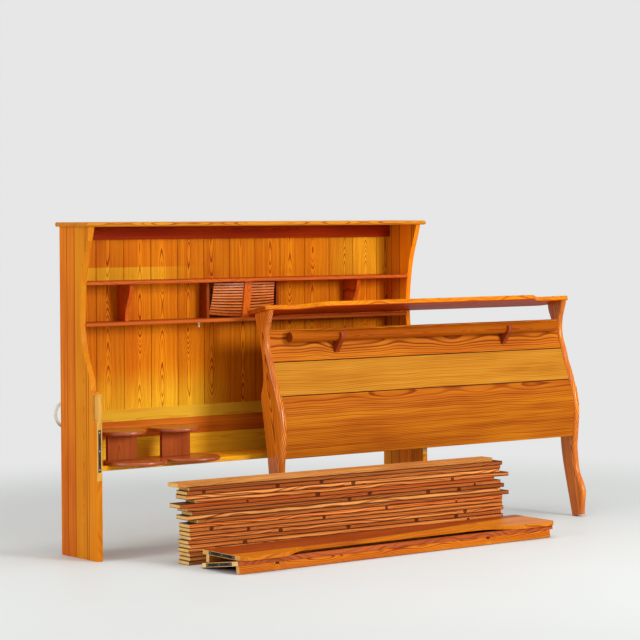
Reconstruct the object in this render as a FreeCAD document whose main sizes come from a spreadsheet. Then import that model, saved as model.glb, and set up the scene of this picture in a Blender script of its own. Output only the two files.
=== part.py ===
import FreeCAD, Part
import math
import os

from FreeCAD import Placement, Rotation, Vector

# Swedish pine double bed, taken apart: the bookcase headboard stands, the footboard leans
# against it, and the slats and the two side rails lie in front.
# X runs along the headboard to the right, Y to the back, Z up. Lengths are millimetres.

os.makedirs("parts", exist_ok=True)
doc = FreeCAD.newDocument("bed_taken_apart")
sheet = doc.addObject("Spreadsheet::Sheet", "sizes")

SIZES = {
    # general fits
    "seat_clearance": 0.3,
    "cut_overrun": 2.0,
    # headboard, overall
    "headboard_width": 1980.0,
    "headboard_depth": 315.0,
    "upright_height": 1540.0,
    "upright_thickness": 27.0,
    "upright_top_depth": 262.0,
    "upright_waist_depth": 179.0,
    "shoulder_height": 783.0,
    "shoulder_ledge_depth": 266.0,
    "shoulder_round": 12.0,
    "rebate_height": 122.0,
    "rebate_drop": 13.0,
    "rebate_reach": 32.0,
    "rebate_depth": 10.0,
    # headboard boards and shelves
    "top_board_thickness": 21.0,
    "top_board_overhang": 23.0,
    "top_board_depth": 280.0,
    "top_board_round": 9.0,
    "back_inset": 12.0,
    "back_board_thickness": 18.0,
    "back_board_pitch": 154.5,
    "back_board_bevel": 2.5,
    "tongue_length": 6.0,
    "tongue_thickness": 5.0,
    "tongue_clearance": 0.4,
    "top_rail_height": 62.0,
    "top_rail_thickness": 22.0,
    "shelf_thickness": 16.0,
    "shelf_edge_round": 4.0,
    "upper_shelf_drop": 271.0,
    "upper_shelf_depth": 195.0,
    "shelf_space": 176.0,
    "lower_shelf_depth": 187.0,
    "bracket_thickness": 20.0,
    "bracket_place": 297.0,
    "bracket_top_reach": 114.0,
    "bracket_waist_reach": 82.0,
    "bracket_foot_reach": 72.0,
    "back_rail_height": 613.0,
    "back_rail_width": 57.0,
    "back_rail_thickness": 22.0,
    "lower_board_split": 533.0,
    "lower_board_gap": 1.0,
    "bottom_shelf_height": 414.0,
    "bottom_shelf_thickness": 22.0,
    "bottom_shelf_depth": 290.0,
    # lamp between the shelves
    "partition_thickness": 16.0,
    "partition_depth": 62.0,
    "lath_thickness": 8.5,
    "lath_width": 22.0,
    "lath_bow": 28.0,
    "lath_top_drop": 16.0,
    "lath_run": 142.0,
    "shade_half_span": 183.0,
    "shade_flare": 14.0,
    "shade_side_gap": 5.0,
    "shade_tip_depth": 105.0,
    "shade_recede": 26.0,
    "spine_width": 42.0,
    "spine_thickness": 16.0,
    "spine_bury": 8.0,
    "holder_diameter": 34.0,
    "holder_height": 46.0,
    "bulb_diameter": 46.0,
    "bulb_neck_diameter": 26.0,
    "bulb_height": 84.0,
    "lamp_depth": 60.0,
    # pull switch under the lower shelf
    "switch_place": 706.0,
    "switch_depth": 120.0,
    "ferrule_diameter": 14.0,
    "ferrule_height": 9.0,
    "pull_stem_diameter": 5.0,
    "pull_knob_diameter": 8.5,
    "pull_knob_height": 13.0,
    "pull_gap": 3.0,
    "pull_bore_clearance": 0.6,
    "pull_fillet": 2.0,
    # bed hook plates
    "plate_length": 196.0,
    "plate_width": 16.0,
    "plate_thickness": 2.5,
    "plate_bottom_height": 412.0,
    "plate_slot_width": 5.5,
    "plate_slot_length": 34.0,
    "plate_slot_place": 50.0,
    "screw_head_diameter": 7.5,
    "screw_shank_diameter": 3.5,
    "screw_length": 18.0,
    "screw_end_margin": 12.0,
    "mortise_width": 7.0,
    "mortise_length": 40.0,
    "mortise_depth": 13.0,
    "hook_reach": 8.0,
    "hook_thickness": 3.0,
    "hook_height": 26.0,
    "hook_notch": 10.0,
    # footboard
    "footboard_width": 1963.0,
    "leg_height": 1131.0,
    "leg_thickness": 35.0,
    "leg_sweep": 64.0,
    "leg_top_reach": 64.0,
    "foot_depth": 65.0,
    "leg_back_reach": 78.0,
    "leg_neck_back_reach": 30.0,
    "leg_crest_back_reach": 51.0,
    "leg_edge_round": 14.0,
    "crown_thickness": 25.0,
    "crown_overhang": 14.0,
    "crown_back": 132.5,
    "crown_waist_reach": 50.0,
    "crown_bulge_reach": 134.0,
    "crown_shoulder_end": 314.0,
    "crown_corner_round": 18.0,
    "crown_back_round": 60.0,
    "crown_edge_round": 7.0,
    "panel_inset": 12.0,
    "panel_thickness": 22.0,
    "panel_bottom_drop": 715.0,
    "panel_joint_low_drop": 417.0,
    "panel_joint_high_drop": 245.0,
    "panel_top_drop": 92.0,
    "panel_joint_gap": 1.6,
    "foot_plate_bottom": 436.0,
    # bedspread pole and its hooks
    "pole_diameter": 54.0,
    "pole_length": 1750.0,
    "pole_drop": 131.0,
    "pole_offset": 23.0,
    "pole_end_round": 5.0,
    "pole_stand_off": 5.0,
    "pole_hook_spacing": 1100.0,
    "pole_hook_thickness": 24.0,
    "pole_hook_wall": 14.0,
    "pole_hook_tail": 52.0,
    # where and how the footboard leans
    "footboard_place": 936.0,
    "heel_distance": 455.0,
    # slats
    "slat_width": 85.0,
    "slat_thickness": 18.8,
    "slat_end_play": 30.0,
    "slat_shift": 62.0,
    "slat_step": 9.0,
    "stack_place": 266.0,
    "stack_front": 668.0,
    # side rails
    "rail_length": 1935.0,
    "rail_end_width": 300.0,
    "rail_middle_width": 204.0,
    "rail_thickness": 20.0,
    "rail_corner_round": 40.0,
    "rail_wide_length": 210.0,
    "rail_curve_length": 230.0,
    "ledger_height": 37.0,
    "ledger_thickness": 22.0,
    "ledger_inset": 10.0,
    "ledger_end_gap": 12.0,
    "rail_plate_place": 45.0,
    "lower_rail_place": 267.0,
    "rail_stack_gap": 81.0,
    "upper_rail_place": 282.0,
    "upper_rail_overhang": 17.0,
    # two-tier trays
    "tray_upper_diameter": 247.0,
    "tray_lower_diameter": 298.0,
    "tray_disc_thickness": 18.0,
    "tray_disc_round": 7.0,
    "tray_web_width": 160.0,
    "tray_web_thickness": 20.0,
    "tray_web_height": 118.0,
    "tray_rib_depth": 90.0,
    "tray_lower_forward": 74.0,
    "tray_lower_aside": 36.0,
    "tray_centre_depth": 206.0,
    "right_tray_place": 498.0,
    "left_tray_place": 196.0,
    # lamp lead
    "cord_diameter": 5.0,
    "coil_radius": 58.0,
    "coil_radius_spread": 6.0,
    "coil_pitch": 5.9,
    "coil_place": 36.0,
    "coil_height": 660.0,
    "coil_stand_off": 1.2,
    "peg_diameter": 12.0,
    "peg_head_diameter": 20.0,
    "peg_head_thickness": 4.0,
    "relief_width": 18.0,
    "relief_depth": 14.0,
    "relief_height": 26.0,
    "relief_drop": 62.0,
    "tail_sway": 2.0,
    "lead_sway": 3.0,
    "lead_drop": 64.0,
    "plug_body_width": 26.0,
    "plug_body_depth": 14.0,
    "plug_body_height": 34.0,
    "plug_round": 4.5,
    "plug_pin_diameter": 4.0,
    "plug_pin_length": 19.0,
    "plug_pin_spacing": 19.0,
}

LEAN_DEGREES = 10.5
STACK_YAW_DEGREES = -0.95
RAIL_YAW_DEGREES = 1.1
SLAT_YAW_DEGREES = 0.12
SLAT_COUNT = 20
LATH_COUNT = 12
LATH_TILT_DEGREES = 30.0
BULB_MIDDLE_DEGREES = 20.0
COIL_TURNS = 5
PANEL_SPANS = 4
tolerance_share = 1e-6

for row, (alias, value) in enumerate(SIZES.items(), start=1):
    sheet.set(f"A{row}", alias.replace("_", " "))
    sheet.set(f"B{row}", str(value))
    sheet.setAlias(f"B{row}", alias)
doc.recompute()

pieces = {}


def size(alias):
    """Value of one driving dimension in the sheet."""
    return float(sheet.get(alias))


def bind(feature, **expressions):
    """Bind properties of a feature to sizes in the sheet; plain words become sheet cells."""
    for name, text in expressions.items():
        words = [f"sizes.{word}" if word in SIZES else word for word in text.split()]
        feature.setExpression(name, " ".join(words))


def new_body(label):
    body = doc.addObject("PartDesign::Body", label)
    body.Label = label
    pieces[label] = body
    return body


def plane_sketch(body, role, name):
    """Sketch on one of the body's own origin planes."""
    sketch = body.newObject("Sketcher::SketchObject", name)
    plane = next(item for item in body.Origin.OriginFeatures if item.Role == role)
    sketch.AttachmentSupport = [(plane, "")]
    sketch.MapMode = "FlatFace"
    return sketch


def spline(points):
    curve = Part.BSplineCurve()
    curve.interpolate([Vector(x, y, 0) for x, y in points])
    return curve


def line(start, end):
    return Part.LineSegment(Vector(*start, 0), Vector(*end, 0))


def quarter_arc(centre, radius, start_degrees):
    """Quarter circle that turns anticlockwise from start_degrees."""
    circle = Part.Circle(Vector(*centre, 0), Vector(0, 0, 1), radius)
    start = math.radians(start_degrees)
    return Part.ArcOfCircle(circle, start, start + math.pi / 2)


def outline_pad(label, role, curves, thickness):
    """Body with one closed outline on an origin plane, padded by a size of the sheet."""
    body = new_body(label)
    sketch = plane_sketch(body, role, f"{label}_outline")
    for curve in curves:
        sketch.addGeometry(curve, False)
    pad = body.newObject("PartDesign::Pad", f"{label}_pad")
    pad.Profile = sketch
    bind(pad, Length=thickness)
    body.Tip = pad
    doc.recompute()
    return body


def plank(label, length, depth, height):
    """Rectangular board: length along X, depth along Y, height along Z."""
    body = new_body(label)
    block = body.newObject("PartDesign::AdditiveBox", f"{label}_block")
    bind(block, Length=length, Width=depth, Height=height)
    body.Tip = block
    doc.recompute()
    return body


def round_edges(body, radius, chosen):
    """Fillet the edges of the body that the chosen function picks by their middle point."""
    base = body.Tip
    names = []
    for number, edge in enumerate(base.Shape.Edges, start=1):
        middle = edge.valueAt((edge.FirstParameter + edge.LastParameter) / 2)
        if chosen(middle, edge):
            names.append(f"Edge{number}")
    fillet = body.newObject("PartDesign::Fillet", f"{body.Name}_round")
    fillet.Base = (base, names)
    bind(fillet, Radius=radius)
    body.Tip = fillet
    doc.recompute()
    return fillet


def cut_box(body, name, corner, length, depth, height):
    """Box-shaped recess; corner is its lowest corner in the body's own frame."""
    before = body.Tip.Shape.Volume
    recess = body.newObject("PartDesign::SubtractiveBox", name)
    bind(recess, Length=length, Width=depth, Height=height)
    recess.Placement = Placement(Vector(*corner), Rotation())
    body.Tip = recess
    doc.recompute()
    if not recess.Shape.Volume < before:
        raise RuntimeError(f"{name} removes nothing")


def revolved(label, outline):
    """Body turned about Z from an outline of (radius, height) curves in the XZ plane."""
    body = new_body(label)
    sketch = plane_sketch(body, "XZ_Plane", f"{label}_profile")
    for curve in outline:
        sketch.addGeometry(curve, False)
    turn = body.newObject("PartDesign::Revolution", f"{label}_turn")
    turn.Profile = sketch
    turn.ReferenceAxis = (sketch, ["V_Axis"])
    turn.Angle = 360.0
    body.Tip = turn
    doc.recompute()
    return body


def shape_piece(label, shape):
    """Piece whose own shape is worked out from the sheet."""
    feature = doc.addObject("Part::Feature", label)
    feature.Label = label
    feature.Shape = shape
    pieces[label] = feature
    return feature


def prism(points, push):
    """Solid from a closed polygon pushed along a vector."""
    wire = Part.makePolygon(list(points) + [points[0]])
    return Part.Face(wire).extrude(push)


def settle(label, position, rotation=None):
    pieces[label].Placement = Placement(position, rotation or Rotation())


# Headboard: X from the left outer face, Y = 0 at the back and negative to the front.

upright_curve_shares = (
    # height share between the shoulder and the top, depth share between waist and top
    (0.09, 0.88),
    (0.15, 0.63),
    (0.23, 0.31),
    (0.33, 0.07),
    (0.42, 0.00),
    (0.54, 0.03),
    (0.68, 0.19),
    (0.82, 0.47),
    (0.92, 0.79),
    (1.00, 1.00),
)


def make_upright(label, outer_on_left):
    depth = size("headboard_depth")
    top = size("upright_height")
    shoulder = size("shoulder_height")
    ledge = size("shoulder_ledge_depth")
    waist = size("upright_waist_depth")
    crest = size("upright_top_depth")
    radius = size("shoulder_round")
    curve = [(-ledge, shoulder)]
    for rise_share, depth_share in upright_curve_shares:
        curve.append((-(waist + (crest - waist) * depth_share), shoulder + (top - shoulder) * rise_share))
    curves = [
        line((0, 0), (-depth, 0)),
        line((-depth, 0), (-depth, shoulder - radius)),
        quarter_arc((-depth + radius, shoulder - radius), radius, 90.0),
        line((-depth + radius, shoulder), (-ledge, shoulder)),
        spline(curve),
        line((-crest, top), (0, top)),
        line((0, top), (0, 0)),
    ]
    body = outline_pad(label, "YZ_Plane", curves, "upright_thickness")
    run = size("cut_overrun")
    thickness = size("upright_thickness")
    rebate_x = -run if outer_on_left else thickness - size("rebate_depth")
    rebate_z = shoulder - size("rebate_drop") - size("rebate_height")
    cut_box(body, f"{label}_rebate", (rebate_x, -depth - run, rebate_z),
            "rebate_depth + cut_overrun", "rebate_reach + cut_overrun", "rebate_height")
    plate_x = (thickness - size("plate_width")) / 2
    cut_box(body, f"{label}_plate_seat", (plate_x, -depth - run, size("plate_bottom_height")),
            "plate_width", "plate_thickness + cut_overrun", "plate_length")
    return body


make_upright("headboard_left_upright", True)
make_upright("headboard_right_upright", False)
settle("headboard_left_upright", Vector(0, 0, 0))
settle("headboard_right_upright", Vector(size("headboard_width") - size("upright_thickness"), 0, 0))

inner_left = size("upright_thickness")
inner_width = "headboard_width - 2 * upright_thickness"
inner_span = size("headboard_width") - 2 * size("upright_thickness")
boards_front = size("back_inset") + size("back_board_thickness")

board = plank("headboard_top_board", "headboard_width + 2 * top_board_overhang",
              "top_board_depth", "top_board_thickness")
round_edges(board, "top_board_round",
            lambda p, e: p.y < size("top_board_depth") / 2 and e.Length > size("top_board_thickness")
            or abs(p.y - size("top_board_depth") / 2) < tolerance_share * size("top_board_depth"))
settle("headboard_top_board",
       Vector(-size("top_board_overhang"), -size("top_board_depth"), size("upright_height")))

plank("headboard_top_rail", inner_width, "top_rail_thickness", "top_rail_height")
settle("headboard_top_rail", Vector(inner_left, -boards_front - size("top_rail_thickness"),
                                    size("upright_height") - size("top_rail_height")))


def tongue_board(left, right, has_groove, has_tongue, bottom, top):
    """Upright board with bevelled front corners, a groove on its left and a tongue on its right."""
    back = -size("back_inset")
    front = -boards_front
    bevel = size("back_board_bevel")
    middle = (back + front) / 2
    half = size("tongue_thickness") / 2
    fit = size("tongue_clearance")
    reach = size("tongue_length")
    points = [(left, back)]
    if has_groove:
        points += [(left, middle + half + fit), (left + reach + fit, middle + half + fit),
                   (left + reach + fit, middle - half - fit), (left, middle - half - fit)]
    points += [(left, front + bevel), (left + bevel, front), (right - bevel, front), (right, front + bevel)]
    if has_tongue:
        points += [(right, middle - half), (right + reach, middle - half),
                   (right + reach, middle + half), (right, middle + half)]
    points += [(right, back)]
    return prism([Vector(x, y, bottom) for x, y in points], Vector(0, 0, top - bottom))


def make_back_boards():
    pitch = size("back_board_pitch")
    count = math.ceil(inner_span / pitch)
    bottom = size("back_rail_height") + size("back_rail_width")
    solids = []
    for number in range(count):
        left = inner_left + number * pitch
        right = min(left + pitch, inner_left + inner_span)
        last = number == count - 1
        solids.append(tongue_board(left, right, number > 0, not last, bottom, size("upright_height")))
    shape_piece("headboard_back_boards", Part.makeCompound(solids))


make_back_boards()


def make_shelf(label, depth, height):
    body = plank(label, inner_width, depth + " - back_inset - back_board_thickness", "shelf_thickness")
    round_edges(body, "shelf_edge_round",
                lambda p, e: p.y < size("shelf_edge_round") and e.Length > size(depth))
    settle(label, Vector(inner_left, -size(depth), height))


upper_shelf_height = size("upright_height") - size("upper_shelf_drop")
shelf_gap_bottom = upper_shelf_height - size("shelf_space")
lower_shelf_height = shelf_gap_bottom - size("shelf_thickness")
make_shelf("upper_shelf", "upper_shelf_depth", upper_shelf_height)
make_shelf("lower_shelf", "lower_shelf_depth", lower_shelf_height)

bracket_curve_shares = (
    # height share of the space, share between the waist's reach and the top's reach
    (0.40, 0.00),
    (0.72, 0.75),
    (0.90, 1.00),
)


def make_bracket(label, place):
    """Curved bracket between the two shelves, wide under the upper one."""
    height = size("shelf_space")
    waist = size("bracket_waist_reach")
    top = size("bracket_top_reach")
    curve = [(-size("bracket_foot_reach"), 0)]
    curve += [(-(waist + (top - waist) * reach), height * rise) for rise, reach in bracket_curve_shares]
    curves = [
        line((0, 0), curve[0]),
        spline(curve),
        line(curve[-1], (-top, height)),
        line((-top, height), (0, height)),
        line((0, height), (0, 0)),
    ]
    outline_pad(label, "YZ_Plane", curves, "bracket_thickness")
    settle(label, Vector(place, -boards_front, shelf_gap_bottom))


make_bracket("left_shelf_bracket", size("bracket_place"))
make_bracket("right_shelf_bracket",
             size("headboard_width") - size("bracket_place") - size("bracket_thickness"))

plank("lower_back_rail", inner_width, "back_rail_thickness", "back_rail_width")
settle("lower_back_rail", Vector(inner_left, -size("back_inset") - size("back_rail_thickness"),
                                 size("back_rail_height")))


def make_lower_back_boards():
    shelf_top = size("bottom_shelf_height") + size("bottom_shelf_thickness")
    split = size("lower_board_split")
    gap = size("lower_board_gap")
    depth = size("back_board_thickness")
    corner = Vector(inner_left, -boards_front, shelf_top)
    low = Part.makeBox(inner_span, depth, split - shelf_top - gap, corner)
    high_corner = Vector(inner_left, -boards_front, split)
    high = Part.makeBox(inner_span, depth, size("back_rail_height") - split, high_corner)
    shape_piece("lower_back_boards", Part.makeCompound([low, high]))


make_lower_back_boards()

shelf = plank("bottom_shelf", inner_width, "bottom_shelf_depth - back_inset", "bottom_shelf_thickness")
round_edges(shelf, "shelf_edge_round",
            lambda p, e: p.y < size("shelf_edge_round") and e.Length > size("headboard_depth"))
settle("bottom_shelf", Vector(inner_left, -size("bottom_shelf_depth"), size("bottom_shelf_height")))

# Lamp: a louvred shade of bowed laths on a spine, between two partitions.

lamp_middle = size("headboard_width") / 2
partition_half_space = size("shade_half_span") + size("shade_flare") + size("shade_side_gap")
for label, side in (("lamp_left_partition", -1), ("lamp_right_partition", 1)):
    plank(label, "partition_thickness", "partition_depth", "shelf_space")
    middle = lamp_middle + side * (partition_half_space + size("partition_thickness") / 2)
    settle(label, Vector(middle - size("partition_thickness") / 2,
                         -boards_front - size("partition_depth"), shelf_gap_bottom))


lath_end_share = 0.25


def make_lath(share):
    """One bowed lath; share is 0 for the top lath and 1 for the bottom one."""
    span = size("shade_half_span") + size("shade_flare") * share ** 2
    bow = size("lath_bow")
    width = size("lath_width")
    inner_span = span - width * lath_end_share
    outer = Part.Arc(Vector(-span, 0, 0), Vector(0, -bow, 0), Vector(span, 0, 0))
    inner = Part.Arc(Vector(inner_span, width, 0), Vector(0, width - bow, 0), Vector(-inner_span, width, 0))
    edges = [
        outer.toShape(),
        Part.LineSegment(Vector(span, 0, 0), Vector(inner_span, width, 0)).toShape(),
        inner.toShape(),
        Part.LineSegment(Vector(-inner_span, width, 0), Vector(-span, 0, 0)).toShape(),
    ]
    solid = Part.Face(Part.Wire(edges)).extrude(Vector(0, 0, size("lath_thickness")))
    solid.rotate(Vector(0, 0, 0), Vector(1, 0, 0), LATH_TILT_DEGREES * share ** 2)
    depth = size("shade_tip_depth") - size("shade_recede") * share
    height = upper_shelf_height - size("lath_top_drop") - size("lath_run") * share
    solid.translate(Vector(lamp_middle, -depth, height))
    return solid


def make_shade():
    laths = [make_lath(number / (LATH_COUNT - 1)) for number in range(LATH_COUNT)]
    shape_piece("lamp_shade_laths", Part.makeCompound(laths))
    front = size("shade_tip_depth") + size("lath_bow") - size("spine_bury")
    thickness = size("spine_thickness")
    points = [
        (-front, upper_shelf_height),
        (-front - thickness, upper_shelf_height),
        (-front - thickness + size("shade_recede"), shelf_gap_bottom),
        (-front + size("shade_recede"), shelf_gap_bottom),
    ]
    left = lamp_middle - size("spine_width") / 2
    spine = prism([Vector(left, y, z) for y, z in points], Vector(size("spine_width"), 0, 0))
    shape_piece("lamp_shade_spine", spine.cut(Part.makeCompound(laths)))


make_shade()


def make_lamp_holder():
    body = new_body("lamp_holder")
    drum = body.newObject("PartDesign::AdditiveCylinder", "lamp_holder_drum")
    bind(drum, Radius="holder_diameter / 2", Height="holder_height")
    body.Tip = drum
    doc.recompute()
    settle("lamp_holder", Vector(lamp_middle, -size("lamp_depth"),
                                 upper_shelf_height - size("holder_height")))


def make_bulb():
    """Pear bulb that hangs from the holder; its height is measured down from the neck."""
    radius = size("bulb_diameter") / 2
    neck = size("bulb_neck_diameter") / 2
    height = size("bulb_height")
    globe = height - radius
    rise = math.sqrt(radius ** 2 - neck ** 2)
    shoulder = (neck, -globe + rise)
    below = math.radians(BULB_MIDDLE_DEGREES)
    middle = (radius * math.cos(below), -globe - radius * math.sin(below))
    outline = [
        line((0, 0), (neck, 0)),
        line((neck, 0), shoulder),
        Part.Arc(Vector(*shoulder, 0), Vector(*middle, 0), Vector(0, -height, 0)),
        line((0, -height), (0, 0)),
    ]
    revolved("lamp_bulb", outline)
    settle("lamp_bulb", Vector(lamp_middle, -size("lamp_depth"),
                               upper_shelf_height - size("holder_height")))


make_lamp_holder()
make_bulb()

# Pull switch: a fixed ferrule under the lower shelf and the knob that is pulled down.

switch_point = Vector(size("switch_place"), -size("switch_depth"), lower_shelf_height)
stem_radius = size("pull_stem_diameter") / 2
bore_radius = stem_radius + size("pull_bore_clearance")
ferrule_radius = size("ferrule_diameter") / 2
ferrule_drop = size("ferrule_height")
ferrule_tip_share = 0.7
knob_radius = size("pull_knob_diameter") / 2
revolved("switch_ferrule", [
    line((bore_radius, 0), (ferrule_radius, 0)),
    line((ferrule_radius, 0), (ferrule_radius, -ferrule_drop / 2)),
    line((ferrule_radius, -ferrule_drop / 2), (ferrule_radius * ferrule_tip_share, -ferrule_drop)),
    line((ferrule_radius * ferrule_tip_share, -ferrule_drop), (bore_radius, -ferrule_drop)),
    line((bore_radius, -ferrule_drop), (bore_radius, 0)),
])
settle("switch_ferrule", switch_point)
knob_top = -ferrule_drop - size("pull_gap")
knob_bottom = knob_top - size("pull_knob_height")
revolved("pull_switch_knob", [
    line((0, -size("seat_clearance")), (stem_radius, -size("seat_clearance"))),
    line((stem_radius, -size("seat_clearance")), (stem_radius, knob_top)),
    line((stem_radius, knob_top), (knob_radius, knob_top - size("pull_fillet"))),
    line((knob_radius, knob_top - size("pull_fillet")), (knob_radius, knob_bottom + size("pull_fillet"))),
    line((knob_radius, knob_bottom + size("pull_fillet")), (knob_radius - size("pull_fillet"), knob_bottom)),
    line((knob_radius - size("pull_fillet"), knob_bottom), (0, knob_bottom)),
    line((0, knob_bottom), (0, -size("seat_clearance"))),
])
settle("pull_switch_knob", switch_point)

# Bed hook plates. Each plate lies in a frame of its own: X across, Y out of the wood, Z along.


def hook_plate(has_hooks):
    """Steel plate with two slots, or with two hooks, and three countersunk screw holes."""
    width = size("plate_width")
    length = size("plate_length")
    thickness = size("plate_thickness")
    plate = Part.makeBox(width, thickness, length, Vector(-width / 2, 0, 0))
    for height in screw_heights():
        plate = plate.cut(screw(height))
    slot_width = size("plate_slot_width")
    slot_length = size("plate_slot_length")
    for middle in slot_middles():
        if has_hooks:
            plate = plate.fuse(plate_hook(middle))
        else:
            slot = Part.makeBox(slot_width, thickness + 2 * size("cut_overrun"), slot_length,
                                Vector(-slot_width / 2, -size("cut_overrun"), middle - slot_length / 2))
            plate = plate.cut(slot)
    return plate


def plate_hook(middle):
    """Hook that stands out of the plate and turns down behind the slot of its mate."""
    half = size("hook_thickness") / 2
    reach = size("plate_thickness") + size("hook_reach")
    low = middle - size("hook_height") / 2
    high = middle + size("hook_height") / 2
    notch = size("hook_notch")
    base = size("plate_thickness")
    points = [(base, high), (reach, high), (reach, low),
              ((base + reach) / 2, low), ((base + reach) / 2, low + notch), (base, low + notch)]
    return prism([Vector(-half, y, z) for y, z in points], Vector(2 * half, 0, 0))


def slot_middles():
    return size("plate_slot_place"), size("plate_length") - size("plate_slot_place")


def screw_heights():
    margin = size("screw_end_margin")
    return margin, size("plate_length") / 2, size("plate_length") - margin


def screw(height):
    """Countersunk screw whose head is flush with the plate; it points into the wood."""
    head = size("screw_head_diameter") / 2
    shank = size("screw_shank_diameter") / 2
    thickness = size("plate_thickness")
    cone = Part.makeCone(shank, head, thickness, Vector(0, 0, height), Vector(0, 1, 0))
    pin = Part.makeCylinder(shank, size("screw_length"), Vector(0, 0, height), Vector(0, -1, 0))
    return cone.fuse(pin)


def mortise(middle):
    """Space in the wood behind a slot, where the hook of the mating plate goes."""
    width = size("mortise_width")
    length = size("mortise_length")
    depth = size("mortise_depth")
    return Part.makeBox(width, depth, length, Vector(-width / 2, -depth, middle - length / 2))


def plate_group(plates_label, screws_label, has_hooks, seats):
    """Plates and screws in the frames of the seats; returns what each seat cuts in its wood."""
    plates = []
    screws = []
    cuts = []
    for seat in seats:
        plates.append(moved(hook_plate(has_hooks), seat))
        own_screws = [moved(screw(height), seat) for height in screw_heights()]
        screws.extend(own_screws)
        own_mortises = [] if has_hooks else [moved(mortise(middle), seat) for middle in slot_middles()]
        cuts.append(own_screws + own_mortises)
    shape_piece(plates_label, Part.makeCompound(plates))
    shape_piece(screws_label, Part.makeCompound(screws))
    return cuts


def moved(shape, placement):
    copy = shape.copy()
    copy.Placement = placement.multiply(copy.Placement)
    return copy


def drill(label, cuts):
    """Cut pilot holes and mortises in a finished piece, kept as a cut of the two."""
    base = pieces[label]
    tool = doc.addObject("Part::Feature", f"{label}_pilots")
    tool.Shape = Part.makeCompound(cuts)
    cut = doc.addObject("Part::Cut", f"{label}_drilled")
    base.Label = f"{label}_blank"
    cut.Base = base
    cut.Tool = tool
    cut.Label = label
    pieces[label] = cut
    doc.recompute()


plate_height = size("plate_bottom_height")
seat_depth = -size("headboard_depth") + size("plate_thickness")
facing_front = Rotation(Vector(0, 0, 1), 180.0)
headboard_seats = [
    Placement(Vector(middle, seat_depth, plate_height), facing_front)
    for middle in (size("upright_thickness") / 2,
                   size("headboard_width") - size("upright_thickness") / 2)
]
left_cuts, right_cuts = plate_group("headboard_hook_plates", "headboard_plate_screws", False,
                                    headboard_seats)
drill("headboard_left_upright", left_cuts)
drill("headboard_right_upright", right_cuts)

# Footboard: X from its left outer face, Y = 0 at the front of the feet and positive to the
# back, Z along the legs. It is made upright and then leans back on its heels.

leg_front_shares = (
    # height share of the leg, forward share of the sweep
    (0.000, 0.05),
    (0.055, 0.28),
    (0.110, 0.50),
    (0.145, 0.41),
    (0.195, 0.13),
    (0.270, 0.12),
    (0.317, 0.19),
    (0.362, 0.39),
    (0.420, 0.67),
    (0.480, 0.92),
    (0.530, 1.00),
    (0.575, 0.98),
    (0.620, 0.81),
    (0.670, 0.67),
    (0.725, 0.42),
    (0.775, 0.31),
    (0.828, 0.13),
    (0.868, 0.12),
    (0.903, 0.25),
    (0.935, 0.45),
    (0.965, 0.73),
)
leg_back_low_shares = (
    # height share of the leg, backward share of the reach behind the foot's front
    (0.115, 0.95),
    (0.210, 1.04),
    (0.300, 1.08),
    (0.370, 1.03),
    (0.400, 1.00),
)
leg_back_high_shares = (
    # height share of the leg, share between the neck's reach and the crest's reach
    (0.660, 1.95),
    (0.686, 1.14),
    (0.720, 0.52),
    (0.756, 0.19),
    (0.790, 0.00),
    (0.825, 0.04),
    (0.863, 0.14),
    (0.899, 0.29),
    (0.928, 0.48),
    (0.955, 0.86),
    (0.973, 1.00),
    (1.000, 1.00),
)
leg_shoulder_share = 0.645


def leg_front_points():
    points = [(-size("leg_sweep") * forward, size("leg_height") * rise) for rise, forward in leg_front_shares]
    return points + [(-size("leg_top_reach"), size("leg_height"))]


def leg_front_curve():
    """Front edge of a leg as a curve of (Y, Z), straight and steep at the foot."""
    return spline(leg_front_points())


def make_leg(label, place):
    height = size("leg_height")
    front = leg_front_points()
    low = [(size("foot_depth"), 0)]
    low += [(size("leg_back_reach") * back, height * rise) for rise, back in leg_back_low_shares]
    neck = size("leg_neck_back_reach")
    crest = size("leg_crest_back_reach")
    high = [(size("leg_back_reach"), height * leg_shoulder_share)]
    high += [(neck + (crest - neck) * reach, height * rise) for rise, reach in leg_back_high_shares]
    curves = [
        line((front[0][0], 0), (size("foot_depth"), 0)),
        spline(low),
        line(low[-1], high[0]),
        spline(high),
        line(high[-1], front[-1]),
        spline(front),
    ]
    body = outline_pad(label, "YZ_Plane", curves, "leg_thickness")
    bound = size("leg_height") / 2
    round_edges(body, "leg_edge_round", lambda p, e: e.Length > bound and p.y < size("foot_depth") / 2)
    plate_x = (size("leg_thickness") - size("plate_width")) / 2
    cut_box(body, f"{label}_plate_seat",
            (plate_x, size("leg_back_reach") - size("plate_thickness"), size("foot_plate_bottom")),
            "plate_width", "plate_thickness + cut_overrun", "plate_length")
    return body


lean = Rotation(Vector(1, 0, 0), -LEAN_DEGREES)
heel = Vector(size("footboard_place"), -size("heel_distance"), 0)


def on_footboard(x, y, z):
    """Placement of a footboard piece made at (x, y, z) of the upright footboard."""
    offset = lean.multVec(Vector(x, y - size("foot_depth"), z))
    return heel + offset


make_leg("footboard_left_leg", 0)
make_leg("footboard_right_leg", 0)
settle("footboard_left_leg", on_footboard(0, 0, 0), lean)
right_leg_place = size("footboard_width") - size("leg_thickness")
settle("footboard_right_leg", on_footboard(right_leg_place, 0, 0), lean)

foot_frame = Placement(on_footboard(0, 0, 0), lean)
foot_seats = [
    foot_frame.multiply(Placement(Vector(middle, size("leg_back_reach") - size("plate_thickness"),
                                         size("foot_plate_bottom")), Rotation()))
    for middle in (size("leg_thickness") / 2, size("footboard_width") - size("leg_thickness") / 2)
]
left_cuts, right_cuts = plate_group("footboard_hook_plates", "footboard_plate_screws", False, foot_seats)
drill("footboard_left_leg", left_cuts)
drill("footboard_right_leg", right_cuts)


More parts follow.
